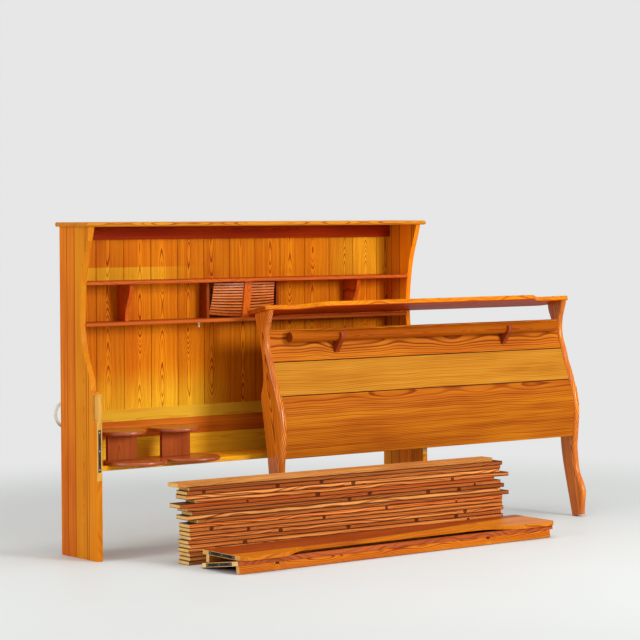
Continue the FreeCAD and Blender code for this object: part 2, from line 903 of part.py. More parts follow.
crown_edge_shares = (
    # share of the way from the leg to the shoulder's end, share between waist and bulge
    (0.00, 0.19),
    (0.12, 0.15),
    (0.30, 0.03),
    (0.48, 0.00),
    (0.60, 0.10),
    (0.74, 0.42),
    (0.86, 0.78),
    (0.95, 0.97),
    (1.00, 1.00),
)


def make_crown():
    """Top board of the footboard: an ear over each leg and a swollen middle between shoulders."""
    overhang = size("crown_overhang")
    width = size("footboard_width") + 2 * overhang
    back = size("crown_back")
    waist = -size("crown_waist_reach")
    bulge = -size("crown_bulge_reach")
    ear_end = size("leg_thickness") + overhang
    span = size("crown_shoulder_end") + overhang - ear_end
    left = [(ear_end + span * along, waist + (bulge - waist) * out) for along, out in crown_edge_shares]
    right = [(width - x, y) for x, y in reversed(left)]
    front = left[0][1]
    radius = size("crown_corner_round")
    back_radius = size("crown_back_round")
    curves = [
        line((0, back - back_radius), (0, front + radius)),
        quarter_arc((radius, front + radius), radius, 180.0),
        line((radius, front), left[0]),
        spline(left),
        line(left[-1], right[0]),
        spline(right),
        line(right[-1], (width - radius, front)),
        quarter_arc((width - radius, front + radius), radius, 270.0),
        line((width, front + radius), (width, back - back_radius)),
        quarter_arc((width - back_radius, back - back_radius), back_radius, 0.0),
        line((width - back_radius, back), (back_radius, back)),
        quarter_arc((back_radius, back - back_radius), back_radius, 90.0),
    ]
    body = outline_pad("footboard_top_board", "XY_Plane", curves, "crown_thickness")
    thickness = size("crown_thickness")
    round_edges(body, "crown_edge_round", lambda p, e: abs(p.z - thickness / 2) > thickness / 4)
    settle("footboard_top_board", on_footboard(-overhang, 0, size("leg_height")), lean)


def depth_at(curve, height):
    """Y of a curve of (Y, Z) at a height, read off the curve itself."""
    reach = size("leg_height")
    ray = Part.makeLine(Vector(-reach, height, 0), Vector(reach, height, 0))
    return curve.toShape().distToShape(ray)[1][0][0].x


def panel_front(bottom, top):
    """Points of a panel's front, set back from the legs' front edge."""
    inset = size("panel_inset")
    legs = leg_front_curve()
    heights = [bottom + (top - bottom) * step / PANEL_SPANS for step in range(PANEL_SPANS + 1)]
    return [(depth_at(legs, height) + inset, height) for height in heights]


def make_panel(label, bottom, top):
    """Bowed board between the legs; its section follows the legs' front edge."""
    thickness = size("panel_thickness")
    front = panel_front(bottom, top)
    back = [(y + thickness, height) for y, height in reversed(front)]
    curves = [
        spline(front),
        line(front[-1], back[0]),
        spline(back),
        line(back[-1], front[0]),
    ]
    outline_pad(label, "YZ_Plane", curves, "footboard_width - 2 * leg_thickness")
    settle(label, on_footboard(size("leg_thickness"), 0, 0), lean)


make_crown()
joint_gap = size("panel_joint_gap")
joint_low = size("leg_height") - size("panel_joint_low_drop")
joint_high = size("leg_height") - size("panel_joint_high_drop")
panel_top = size("leg_height") - size("panel_top_drop")
panel_bottom = size("leg_height") - size("panel_bottom_drop")
make_panel("footboard_lower_panel", panel_bottom, joint_low - joint_gap)
make_panel("footboard_middle_panel", joint_low, joint_high - joint_gap)
make_panel("footboard_upper_panel", joint_high, panel_top)

# Bedspread pole in two wooden hooks on the upper panel.

pole_radius = size("pole_diameter") / 2
pole_height = size("leg_height") - size("pole_drop")
upper_front = spline(panel_front(joint_high, panel_top))
pole_y = depth_at(upper_front, pole_height) - size("pole_stand_off") - pole_radius
pole_middle = size("footboard_width") / 2 + size("pole_offset")
hook_touch_share = 0.3
HOOK_LOW_DEGREES = -100.0
HOOK_TIP_DEGREES = -195.0
HOOK_CHIN_DEGREES = -150.0
HOOK_BELLY_DEGREES = -112.0


def around_pole(radius, angle):
    """Point of the footboard's (Y, Z) plane at a distance and angle (radians) from the pole's axis."""
    return (pole_y + radius * math.cos(angle), pole_height + radius * math.sin(angle))


def make_pole():
    radius = pole_radius
    length = size("pole_length")
    corner = size("pole_end_round")
    outline = [
        line((0, 0), (radius - corner, 0)),
        quarter_arc((radius - corner, corner), corner, 270.0),
        line((radius, corner), (radius, length - corner)),
        quarter_arc((radius - corner, length - corner), corner, 0.0),
        line((radius - corner, length), (0, length)),
        line((0, length), (0, 0)),
    ]
    revolved("bedspread_pole", outline)
    along = Rotation(Vector(0, 1, 0), 90.0)
    start = on_footboard(pole_middle - length / 2, pole_y, pole_height)
    settle("bedspread_pole", start, lean.multiply(along))


def make_pole_hook(label, middle):
    """J-shaped wooden hook: a tail on the panel, an arm under the pole and a lip before it."""
    wall = size("pole_hook_wall")
    fit = size("seat_clearance")
    seat_radius = pole_radius + fit
    outer_radius = seat_radius + wall
    low_z = pole_height - seat_radius - size("pole_hook_tail")
    high_z = pole_height - pole_radius * hook_touch_share
    panel = [(depth_at(upper_front, z) - fit, z) for z in (low_z, (low_z + high_z) / 2, high_z)]
    touch = panel[-1]
    start = around_pole(seat_radius, math.atan2(touch[1] - pole_height, touch[0] - pole_y))
    low = around_pole(seat_radius, math.radians(HOOK_LOW_DEGREES))
    tip = around_pole(seat_radius, math.radians(HOOK_TIP_DEGREES))
    nose = around_pole(outer_radius, math.radians(HOOK_TIP_DEGREES))
    chin = around_pole(outer_radius, math.radians(HOOK_CHIN_DEGREES))
    belly = around_pole(outer_radius, math.radians(HOOK_BELLY_DEGREES))
    foot = (panel[0][0] - wall / 2, low_z)
    curves = [
        spline(panel),
        line(touch, start),
        Part.Arc(Vector(*start, 0), Vector(*low, 0), Vector(*tip, 0)),
        line(tip, nose),
        Part.Arc(Vector(*nose, 0), Vector(*chin, 0), Vector(*belly, 0)),
        line(belly, foot),
        line(foot, panel[0]),
    ]
    outline_pad(label, "YZ_Plane", curves, "pole_hook_thickness")
    settle(label, on_footboard(middle - size("pole_hook_thickness") / 2, 0, 0), lean)


make_pole()
hook_middle = size("footboard_width") / 2
make_pole_hook("left_pole_hook", hook_middle - size("pole_hook_spacing") / 2)
make_pole_hook("right_pole_hook", hook_middle + size("pole_hook_spacing") / 2)

# Slats: a loose stack, each one shifted a little along its length and to the front or back.

slat_shift_shares = (
    -0.04, 0.02, 0.05, -0.03, 0.04, -0.06, 0.10, 0.03, 0.08, 0.00,
    0.70, -0.20, 0.25, -0.10, -0.85, 0.55, -0.25, -0.15, 0.00, -0.90,
)
slat_step_shares = (
    0.1, -0.3, 0.2, 0.5, -0.2, 0.3, -0.4, 0.1, 0.4, -0.1,
    -0.6, 0.3, 0.0, 0.6, -0.3, -0.7, 0.2, 0.5, -0.2, 0.8,
)
slat_turn_shares = (
    0.0, 0.5, -0.4, 0.3, -0.6, 0.4, 0.1, -0.5, 0.6, -0.2,
    1.0, -0.8, 0.5, -0.3, 0.9, -1.0, 0.4, -0.5, 0.2, 0.7,
)
slat_length = size("headboard_width") - 2 * size("rail_thickness") - 2 * size("slat_end_play")


def slat_placement(number, lift):
    share = number % SLAT_COUNT
    turn = Rotation(Vector(0, 0, 1), STACK_YAW_DEGREES + SLAT_YAW_DEGREES * slat_turn_shares[share])
    place = Vector(size("stack_place") + size("slat_shift") * slat_shift_shares[share],
                   -size("stack_front") + size("slat_step") * slat_step_shares[share],
                   number * size("slat_thickness") + lift)
    return Placement(place, turn)


def make_slats():
    solids = []
    for number in range(SLAT_COUNT - 1):
        slat = Part.makeBox(slat_length, size("slat_width"), size("slat_thickness"))
        solids.append(moved(slat, slat_placement(number, 0)))
    shape_piece("slat_stack", Part.makeCompound(solids))
    top = doc.addObject("Part::Box", "top_slat")
    top.Label = "top_slat"
    bind(top, Length="headboard_width - 2 * rail_thickness - 2 * slat_end_play",
         Width="slat_width", Height="slat_thickness")
    doc.recompute()
    pieces["top_slat"] = top
    top.Placement = slat_placement(SLAT_COUNT - 1, size("seat_clearance"))


make_slats()

# Side rails. Each is made with its inner face down on Z = 0, its bottom edge on Y = 0 and its
# shaped top edge towards +Y. The ledger that carries the slats is under the inner face.

rail_tilt = math.atan(size("ledger_height")
                      / (size("rail_end_width") - size("ledger_inset") - size("ledger_thickness")))
rail_turn = Rotation(Vector(0, 0, 1), RAIL_YAW_DEGREES)
rail_edge_shares = (
    # share of the curve's length, share of the drop from the wide end to the middle
    (0.00, 0.00),
    (0.15, 0.05),
    (0.33, 0.24),
    (0.50, 0.52),
    (0.67, 0.79),
    (0.85, 0.96),
    (1.00, 1.00),
)


def make_rail_board(label):
    length = size("rail_length")
    wide = size("rail_end_width")
    narrow = size("rail_middle_width")
    radius = size("rail_corner_round")
    first = size("rail_wide_length")
    reach = size("rail_curve_length")
    left = [(first + reach * along, wide + (narrow - wide) * drop) for along, drop in rail_edge_shares]
    right = [(length - x, y) for x, y in reversed(left)]
    curves = [
        line((0, 0), (length, 0)),
        line((length, 0), (length, wide - radius)),
        quarter_arc((length - radius, wide - radius), radius, 0.0),
        line((length - radius, wide), right[-1]),
        spline(right[::-1]),
        line(right[0], left[-1]),
        spline(left[::-1]),
        line(left[0], (radius, wide)),
        quarter_arc((radius, wide - radius), radius, 90.0),
        line((0, wide - radius), (0, 0)),
    ]
    body = outline_pad(label, "XY_Plane", curves, "rail_thickness")
    run = size("cut_overrun")
    seat_z = (size("rail_thickness") - size("plate_width")) / 2
    cut_box(body, f"{label}_near_seat", (-run, size("rail_plate_place"), seat_z),
            "plate_thickness + cut_overrun", "plate_length", "plate_width")
    cut_box(body, f"{label}_far_seat",
            (length - size("plate_thickness"), size("rail_plate_place"), seat_z),
            "plate_thickness + cut_overrun", "plate_length", "plate_width")


def make_rail(prefix, frame):
    board_label = f"{prefix}_rail_board"
    make_rail_board(board_label)
    pieces[board_label].Placement = frame
    ledger = plank(f"{prefix}_rail_ledger", "rail_length - 2 * ledger_end_gap",
                   "ledger_thickness", "ledger_height")
    ledger.Placement = frame.multiply(
        Placement(Vector(size("ledger_end_gap"), size("ledger_inset"), -size("ledger_height")), Rotation()))
    middle_z = size("rail_thickness") / 2
    thickness = size("plate_thickness")
    near = Placement(Vector(thickness, size("rail_plate_place"), middle_z),
                     Rotation(Vector(0, 0, 1), Vector(-1, 0, 0), Vector(0, 1, 0), "YZX"))
    far = Placement(Vector(size("rail_length") - thickness, size("rail_plate_place"), middle_z),
                    Rotation(Vector(0, 0, -1), Vector(1, 0, 0), Vector(0, 1, 0), "YZX"))
    seats = [frame.multiply(near), frame.multiply(far)]
    near_cuts, far_cuts = plate_group(f"{prefix}_rail_plates", f"{prefix}_rail_screws", True, seats)
    drill(board_label, near_cuts + far_cuts)


def lower_rail_frame():
    """The lower rail lies before the slats, on the far edge of its board and on its ledger."""
    wide = size("rail_end_width")
    front = size("stack_front") + size("rail_stack_gap") + wide * math.cos(rail_tilt)
    base = Vector(size("lower_rail_place"), -front, wide * math.sin(rail_tilt))
    return Placement(base, rail_turn.multiply(Rotation(Vector(1, 0, 0), -math.degrees(rail_tilt))))


def upper_rail_frame(lower):
    """The upper rail lies turned about on the lower one: its ledger stands on the lower board
    and its face rests on that board's front corner."""
    wide = size("rail_end_width")
    ledger_edge = size("ledger_inset") + size("ledger_thickness")
    touching = wide - size("upper_rail_overhang")
    slope = math.atan(size("ledger_height") / (touching - ledger_edge)) - rail_tilt
    corner = lower.multVec(Vector(0, 0, size("rail_thickness") + size("seat_clearance")))
    turn = Rotation(Vector(0, 0, 1), 180.0).multiply(Rotation(Vector(1, 0, 0), -math.degrees(slope)))
    rotation = rail_turn.multiply(turn)
    along = rail_turn.multVec(Vector(1, 0, 0))
    shift = size("upper_rail_place") - size("lower_rail_place") + size("rail_length")
    base = corner + along * shift - rotation.multVec(Vector(0, touching, 0))
    return Placement(base, rotation)


lower_frame = lower_rail_frame()
upper_frame = upper_rail_frame(lower_frame)
make_rail("lower", lower_frame)
make_rail("upper", upper_frame)

# Two-tier trays on the bottom shelf: a round tray on a web that stands on a larger one.


def make_disc(label, diameter):
    radius = size(diameter) / 2
    thickness = size("tray_disc_thickness")
    corner = size("tray_disc_round")
    outline = [
        line((0, 0), (radius - corner, 0)),
        quarter_arc((radius - corner, corner), corner, 270.0),
        line((radius, corner), (radius, thickness - corner)),
        quarter_arc((radius - corner, thickness - corner), corner, 0.0),
        line((radius - corner, thickness), (0, thickness)),
        line((0, thickness), (0, 0)),
    ]
    revolved(label, outline)


def make_tray(side, place):
    base = size("bottom_shelf_height") + size("bottom_shelf_thickness") + size("seat_clearance")
    thickness = size("tray_disc_thickness")
    centre = Vector(place, -size("tray_centre_depth"), base)
    make_disc(f"{side}_tray_lower_disc", "tray_lower_diameter")
    forward = Vector(size("tray_lower_aside"), -size("tray_lower_forward"), 0)
    settle(f"{side}_tray_lower_disc", centre + forward)
    web = size("tray_web_width")
    depth = size("tray_web_thickness")
    rib = size("tray_rib_depth")
    points = [(-web / 2, 0), (-web / 2, -depth), (web / 2, -depth), (web / 2, 0),
              (depth / 2, 0), (depth / 2, rib), (-depth / 2, rib), (-depth / 2, 0)]
    curves = [line(a, b) for a, b in zip(points, points[1:] + points[:1])]
    outline_pad(f"{side}_tray_web", "XY_Plane", curves, "tray_web_height")
    settle(f"{side}_tray_web", centre + Vector(0, 0, thickness))
    make_disc(f"{side}_tray_upper_disc", "tray_upper_diameter")
    settle(f"{side}_tray_upper_disc", centre + Vector(0, 0, thickness + size("tray_web_height")))


make_tray("left", size("left_tray_place"))
make_tray("right", size("right_tray_place"))

# Lamp lead: it leaves a strain relief on the back, hangs in a loose coil on a peg and ends
# in its plug.

cord_radius = size("cord_diameter") / 2
coil_top = size("coil_height") + size("coil_radius")
coil_first_y = cord_radius + size("coil_stand_off")
turn_radius_shares = (0.2, -0.6, 1.0, -0.2, 0.6, -1.0)
tangent_step_share = 1e-4
route_trim_share = 0.45
tail_route_shares = (
    # share of the tail's sway, share of its drop from the coil up to the strain relief
    (-1.00, 1.00),
    (0.25, 0.68),
    (0.00, 0.32),
)
lead_route_shares = (
    # share of the lead's sway, share of its drop from the coil down to the plug
    (0.00, 0.28),
    (-1.00, 0.66),
    (-0.67, 1.00),
)


def turn_radius(angle):
    """Radius of the coil at an angle in turns, easing from one loose turn to the next."""
    whole = min(int(angle), COIL_TURNS - 1)
    part = angle - whole
    first = turn_radius_shares[whole]
    second = turn_radius_shares[whole + 1]
    ease = part * part * (3 - 2 * part)
    return size("coil_radius") + size("coil_radius_spread") * (first + (second - first) * ease)


def coil_point(angle):
    """Point of the coil after a number of turns, starting at its right side and going down."""
    radius = turn_radius(angle)
    swing = 2 * math.pi * angle + math.pi / 2
    return Vector(size("coil_place") + radius * math.sin(swing),
                  coil_first_y + size("coil_pitch") * angle,
                  coil_top - radius + radius * math.cos(swing))


def coil_tangent(angle):
    ahead = coil_point(min(angle + tangent_step_share, COIL_TURNS))
    behind = coil_point(max(angle - tangent_step_share, 0))
    return (ahead - behind).normalize()


def tangent_arc(start, tangent, end):
    """Circular arc from start to end that leaves along the tangent."""
    chord = end - start
    axis = Vector(chord).normalize()
    side = (tangent - axis * tangent.dot(axis)).normalize()
    half_angle = tangent.getAngle(chord)
    sagitta = chord.Length / 2 * math.tan(half_angle / 2)
    return Part.Arc(start, (start + end) / 2 + side * sagitta, end)


def biarc(first, first_tangent, last, last_tangent):
    """Two arcs that join two points and meet smoothly."""
    span = last - first
    both = first_tangent + last_tangent
    spread = 2 * (1 - first_tangent.dot(last_tangent))
    reach = (-span.dot(both) + math.sqrt(span.dot(both) ** 2 + spread * span.dot(span))) / spread
    middle = (first + first_tangent * reach + last - last_tangent * reach) / 2
    incoming = tangent_arc(first, first_tangent, middle)
    outgoing = tangent_arc(last, last_tangent * -1, middle)
    return [incoming.toShape(), outgoing.toShape()]


def pipe(wire, start, tangent):
    circle = Part.Circle(start, tangent, cord_radius).toShape()
    return wire.makePipeShell([Part.Wire(circle)], True, False)


def make_coil():
    quarter = 0.25
    edges = []
    for number in range(4 * COIL_TURNS):
        first = quarter * number
        last = quarter * (number + 1)
        edges += biarc(coil_point(first), coil_tangent(first), coil_point(last), coil_tangent(last))
    path = Part.Wire(edges)
    coil = pipe(path, coil_point(0), coil_tangent(0))
    shape_piece("lamp_cord_coil", coil)
    print("coil length", round(path.Length), "least gap", round(coil_gap(), 2),
          "volume share", round(coil.Volume / (path.Length * math.pi * cord_radius ** 2), 4))
    return path.Length


def coil_gap():
    """Least gap between the coil's turns, on points along it."""
    samples = 48
    points = [coil_point(number / samples) for number in range(samples * COIL_TURNS + 1)]
    least = size("coil_radius")
    for number, point in enumerate(points):
        for other in points[number + samples // 2:]:
            least = min(least, (point - other).Length)
    return least - size("cord_diameter")


def rounded_route(points):
    """Straight runs joined by tangent arcs, as large as the runs allow."""
    edges = []
    here = points[0]
    radii = []
    for before, corner, after in zip(points, points[1:], points[2:]):
        arriving = corner - before
        leaving = after - corner
        half_turn = arriving.getAngle(leaving) / 2
        trim = route_trim_share * min(arriving.Length, leaving.Length)
        radii.append(trim / math.tan(half_turn))
        enter = corner - Vector(arriving).normalize() * trim
        leave = corner + Vector(leaving).normalize() * trim
        edges.append(Part.LineSegment(here, enter).toShape())
        edges.append(tangent_arc(enter, Vector(arriving).normalize(), leave).toShape())
        here = leave
    edges.append(Part.LineSegment(here, points[-1]).toShape())
    return Part.Wire(edges), radii


def make_cord_run(label, points):
    path, radii = rounded_route(points)
    tube = pipe(path, points[0], points[1] - points[0])
    shape_piece(label, tube)
    print(label, "length", round(path.Length), "radii", [round(radius) for radius in radii],
          "volume share", round(tube.Volume / (path.Length * math.pi * cord_radius ** 2), 4))
    return path.Length


coil_start = coil_point(0)
coil_end = coil_point(COIL_TURNS)
tail_route = [coil_start + Vector(size("tail_sway") * aside, 0, size("relief_drop") * up)
              for aside, up in tail_route_shares] + [coil_start]
lead_route = [coil_end] + [coil_end + Vector(size("lead_sway") * aside, 0, -size("lead_drop") * down)
                           for aside, down in lead_route_shares]
total = make_coil()
total += make_cord_run("lamp_cord_tail", tail_route)
total += make_cord_run("lamp_cord_lead", lead_route)
print("lead length", round(total))

relief = plank("cord_strain_relief", "relief_width", "relief_depth", "relief_height")
settle("cord_strain_relief", Vector(tail_route[0].x - size("relief_width") / 2,
                                    -size("back_inset"), tail_route[0].z))

peg_z = coil_top - cord_radius - size("seat_clearance") - size("peg_diameter") / 2
peg_length = size("back_inset") + coil_end.y + cord_radius + size("seat_clearance")
peg_radius = size("peg_diameter") / 2
head_radius = size("peg_head_diameter") / 2
revolved("cord_peg", [
    line((0, 0), (peg_radius, 0)),
    line((peg_radius, 0), (peg_radius, peg_length)),
    line((peg_radius, peg_length), (head_radius, peg_length)),
    line((head_radius, peg_length), (head_radius, peg_length + size("peg_head_thickness"))),
    line((head_radius, peg_length + size("peg_head_thickness")), (0, peg_length + size("peg_head_thickness"))),
    line((0, peg_length + size("peg_head_thickness")), (0, 0)),
])
settle("cord_peg", Vector(size("coil_place"), -size("back_inset"), peg_z),
       Rotation(Vector(1, 0, 0), -90.0))


def make_plug():
    """Flat two-pin plug that hangs from the lead."""
    width = size("plug_body_width")
    depth = size("plug_body_depth")
    height = size("plug_body_height")
    top = lead_route[-1]
    body = Part.makeBox(width, depth, height, Vector(-width / 2, -depth / 2, -height))
    edges = [edge for edge in body.Edges if edge.Length > height * (1 - tolerance_share)]
    body = body.makeFillet(size("plug_round"), edges)
    for side in (-1, 1):
        pin = Part.makeCylinder(size("plug_pin_diameter") / 2, size("plug_pin_length"),
                                Vector(side * size("plug_pin_spacing") / 2, 0, -height), Vector(0, 0, -1))
        body = body.fuse(pin)
    shape_piece("mains_plug", body)
    settle("mains_plug", top)


make_plug()


def centre_all():
    """Move the whole part so that its origin is under its middle, on the floor."""
    doc.recompute()
    cords = ("lamp_cord_coil", "lamp_cord_tail", "lamp_cord_lead", "mains_plug")
    whole = FreeCAD.BoundBox()
    for label, piece in pieces.items():
        if label not in cords:
            whole.add(piece.Shape.optimalBoundingBox(False))
    shift = Vector(-(whole.XMin + whole.XMax) / 2, -(whole.YMin + whole.YMax) / 2, -whole.ZMin)
    for piece in pieces.values():
        piece.Placement = Placement(piece.Placement.Base + shift, piece.Placement.Rotation)
    doc.recompute()
    print("shift", [round(value, 3) for value in shift], "size",
          [round(value, 1) for value in (whole.XLength, whole.YLength, whole.ZLength)])
    return shift


shift = centre_all()
print("heel line", [round(value, 3) for value in heel + shift])
print("pole axis", [round(value, 3) for value in on_footboard(pole_middle, pole_y, pole_height) + shift])
print("switch", [round(value, 3) for value in switch_point + shift])
print("plug", [round(value, 3) for value in lead_route[-1] + shift])

for item in doc.Objects:
    if "Invalid" in item.State or "Error" in item.State:
        raise RuntimeError(f"{item.Label} failed: {item.State}")
for label, piece in pieces.items():
    if piece.Shape.isNull() or not piece.Shape.isValid():
        raise RuntimeError(f"{label} has no valid shape")
    piece.Shape.exportStep(f"parts/{label}.step")
print(len(pieces), "pieces")
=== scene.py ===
import math

import bpy
from mathutils import Euler, Matrix, Vector


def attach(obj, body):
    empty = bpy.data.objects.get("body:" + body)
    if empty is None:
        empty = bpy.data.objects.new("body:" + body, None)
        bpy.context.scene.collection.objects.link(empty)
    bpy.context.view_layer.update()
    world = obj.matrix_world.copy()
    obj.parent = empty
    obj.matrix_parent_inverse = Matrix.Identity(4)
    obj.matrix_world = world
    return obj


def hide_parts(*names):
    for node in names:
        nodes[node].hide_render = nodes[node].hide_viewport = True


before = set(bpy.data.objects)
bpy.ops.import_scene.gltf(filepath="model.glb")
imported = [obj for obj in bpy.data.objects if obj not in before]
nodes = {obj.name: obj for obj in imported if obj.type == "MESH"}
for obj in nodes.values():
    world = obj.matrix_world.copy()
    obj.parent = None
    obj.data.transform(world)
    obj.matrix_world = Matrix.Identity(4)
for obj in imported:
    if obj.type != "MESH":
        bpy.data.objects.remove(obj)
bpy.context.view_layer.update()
scene = bpy.context.scene

# Place of the headboard, in metres

HEADBOARD_LEFT = -1.445
HEADBOARD_BACK = 0.50977
HEADBOARD_WIDTH = 1.980
HEADBOARD_RIGHT = HEADBOARD_LEFT + HEADBOARD_WIDTH


def row(u, v, z):
    """Point given along the headboard, forward of its back and above the floor."""
    return Vector((HEADBOARD_LEFT + u, HEADBOARD_BACK - v, z))


# Camera

CAMERA_PLACE = row(-5.8912, 9.6271, 1.60)
LENS = 135.0
SENSOR = 36.0
FARTHEST = 100.0
LOOK_BACKWARD = 0.7917
LOOK_RIGHT = 0.6108
LOOK_DOWN_DEGREES = 2.5515
ROLL = -0.0032

camera_data = bpy.data.cameras.new("camera")
camera = bpy.data.objects.new("camera", camera_data)
scene.collection.objects.link(camera)
camera_data.sensor_width = SENSOR
camera_data.lens = LENS
camera_data.clip_end = FARTHEST
camera.location = CAMERA_PLACE
yaw = math.atan2(LOOK_BACKWARD, LOOK_RIGHT) - math.pi / 2
tilt = math.radians(90.0 - LOOK_DOWN_DEGREES)
turned = Matrix.Rotation(yaw, 3, "Z") @ Matrix.Rotation(tilt, 3, "X") @ Matrix.Rotation(ROLL, 3, "Z")
camera.rotation_mode = "XYZ"
camera.rotation_euler = turned.to_euler()
scene.camera = camera

# Lamp lead: a free cord with its coil, from the strain relief to the plug

CORD_DIAMETER = 0.005
COIL_TURNS = 5
POINTS_PER_TURN = 14
COIL_RADIUS = 0.058
COIL_CENTRE_U = 0.036
COIL_CENTRE_Z = 0.660
COIL_SPREAD = 0.006
COIL_PITCH = 0.0059
COIL_FIRST_Y = 0.0037
TURN_SHARES = (0.2, -0.6, 1.0, -0.2, 0.6, -1.0)


def coil_point(turns):
    """Point of the coil after some turns; each turn has its own size and all hang from one top."""
    whole = min(int(turns), COIL_TURNS - 1)
    part = turns - whole
    ease = part * part * (3 - 2 * part)
    share = TURN_SHARES[whole] + (TURN_SHARES[whole + 1] - TURN_SHARES[whole]) * ease
    radius = COIL_RADIUS + COIL_SPREAD * share
    swing = 2 * math.pi * turns + math.pi / 2
    centre_z = COIL_CENTRE_Z + COIL_RADIUS - radius
    point = row(COIL_CENTRE_U + radius * math.sin(swing), 0.0, centre_z + radius * math.cos(swing))
    point.y += COIL_FIRST_Y + COIL_PITCH * turns
    return point


def curve_object(name, points, radius):
    """Round cord along a smooth curve that its points guide."""
    curve = bpy.data.curves.new(name, "CURVE")
    curve.dimensions = "3D"
    curve.bevel_depth = 1.0
    curve.bevel_resolution = 4
    curve.use_fill_caps = True
    curve.resolution_u = 6
    spline = curve.splines.new("NURBS")
    spline.points.add(len(points) - 1)
    for target, point in zip(spline.points, points):
        target.co = (*point, 1.0)
        target.radius = radius
    spline.order_u = 3
    spline.use_endpoint_u = True
    piece = bpy.data.objects.new(name, curve)
    scene.collection.objects.link(piece)
    return piece


first = coil_point(0)
last = coil_point(COIL_TURNS)
route = [
    first + Vector((-0.0020, 0, 0.062)),
    first + Vector((0.0005, 0, 0.0422)),
    first + Vector((0.0, 0, 0.0198)),
]
steps = COIL_TURNS * POINTS_PER_TURN
route += [coil_point(number / POINTS_PER_TURN) for number in range(steps + 1)]
route += [
    last + Vector((0.0, 0, -0.0179)),
    last + Vector((-0.003, 0, -0.0422)),
    last + Vector((-0.002, 0, -0.064)),
]
lead = curve_object("lamp_lead", route, CORD_DIAMETER / 2)
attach(lead, "headboard")
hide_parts("lamp_cord_tail", "lamp_cord_coil", "lamp_cord_lead")

# Materials


def srgb(text):
    """Linear colour of a six-figure screen colour."""
    values = [int(text[i:i + 2], 16) / 255 for i in (0, 2, 4)]
    return tuple(v / 12.92 if v <= 0.04045 else ((v + 0.055) / 1.055) ** 2.4 for v in values) + (1.0,)


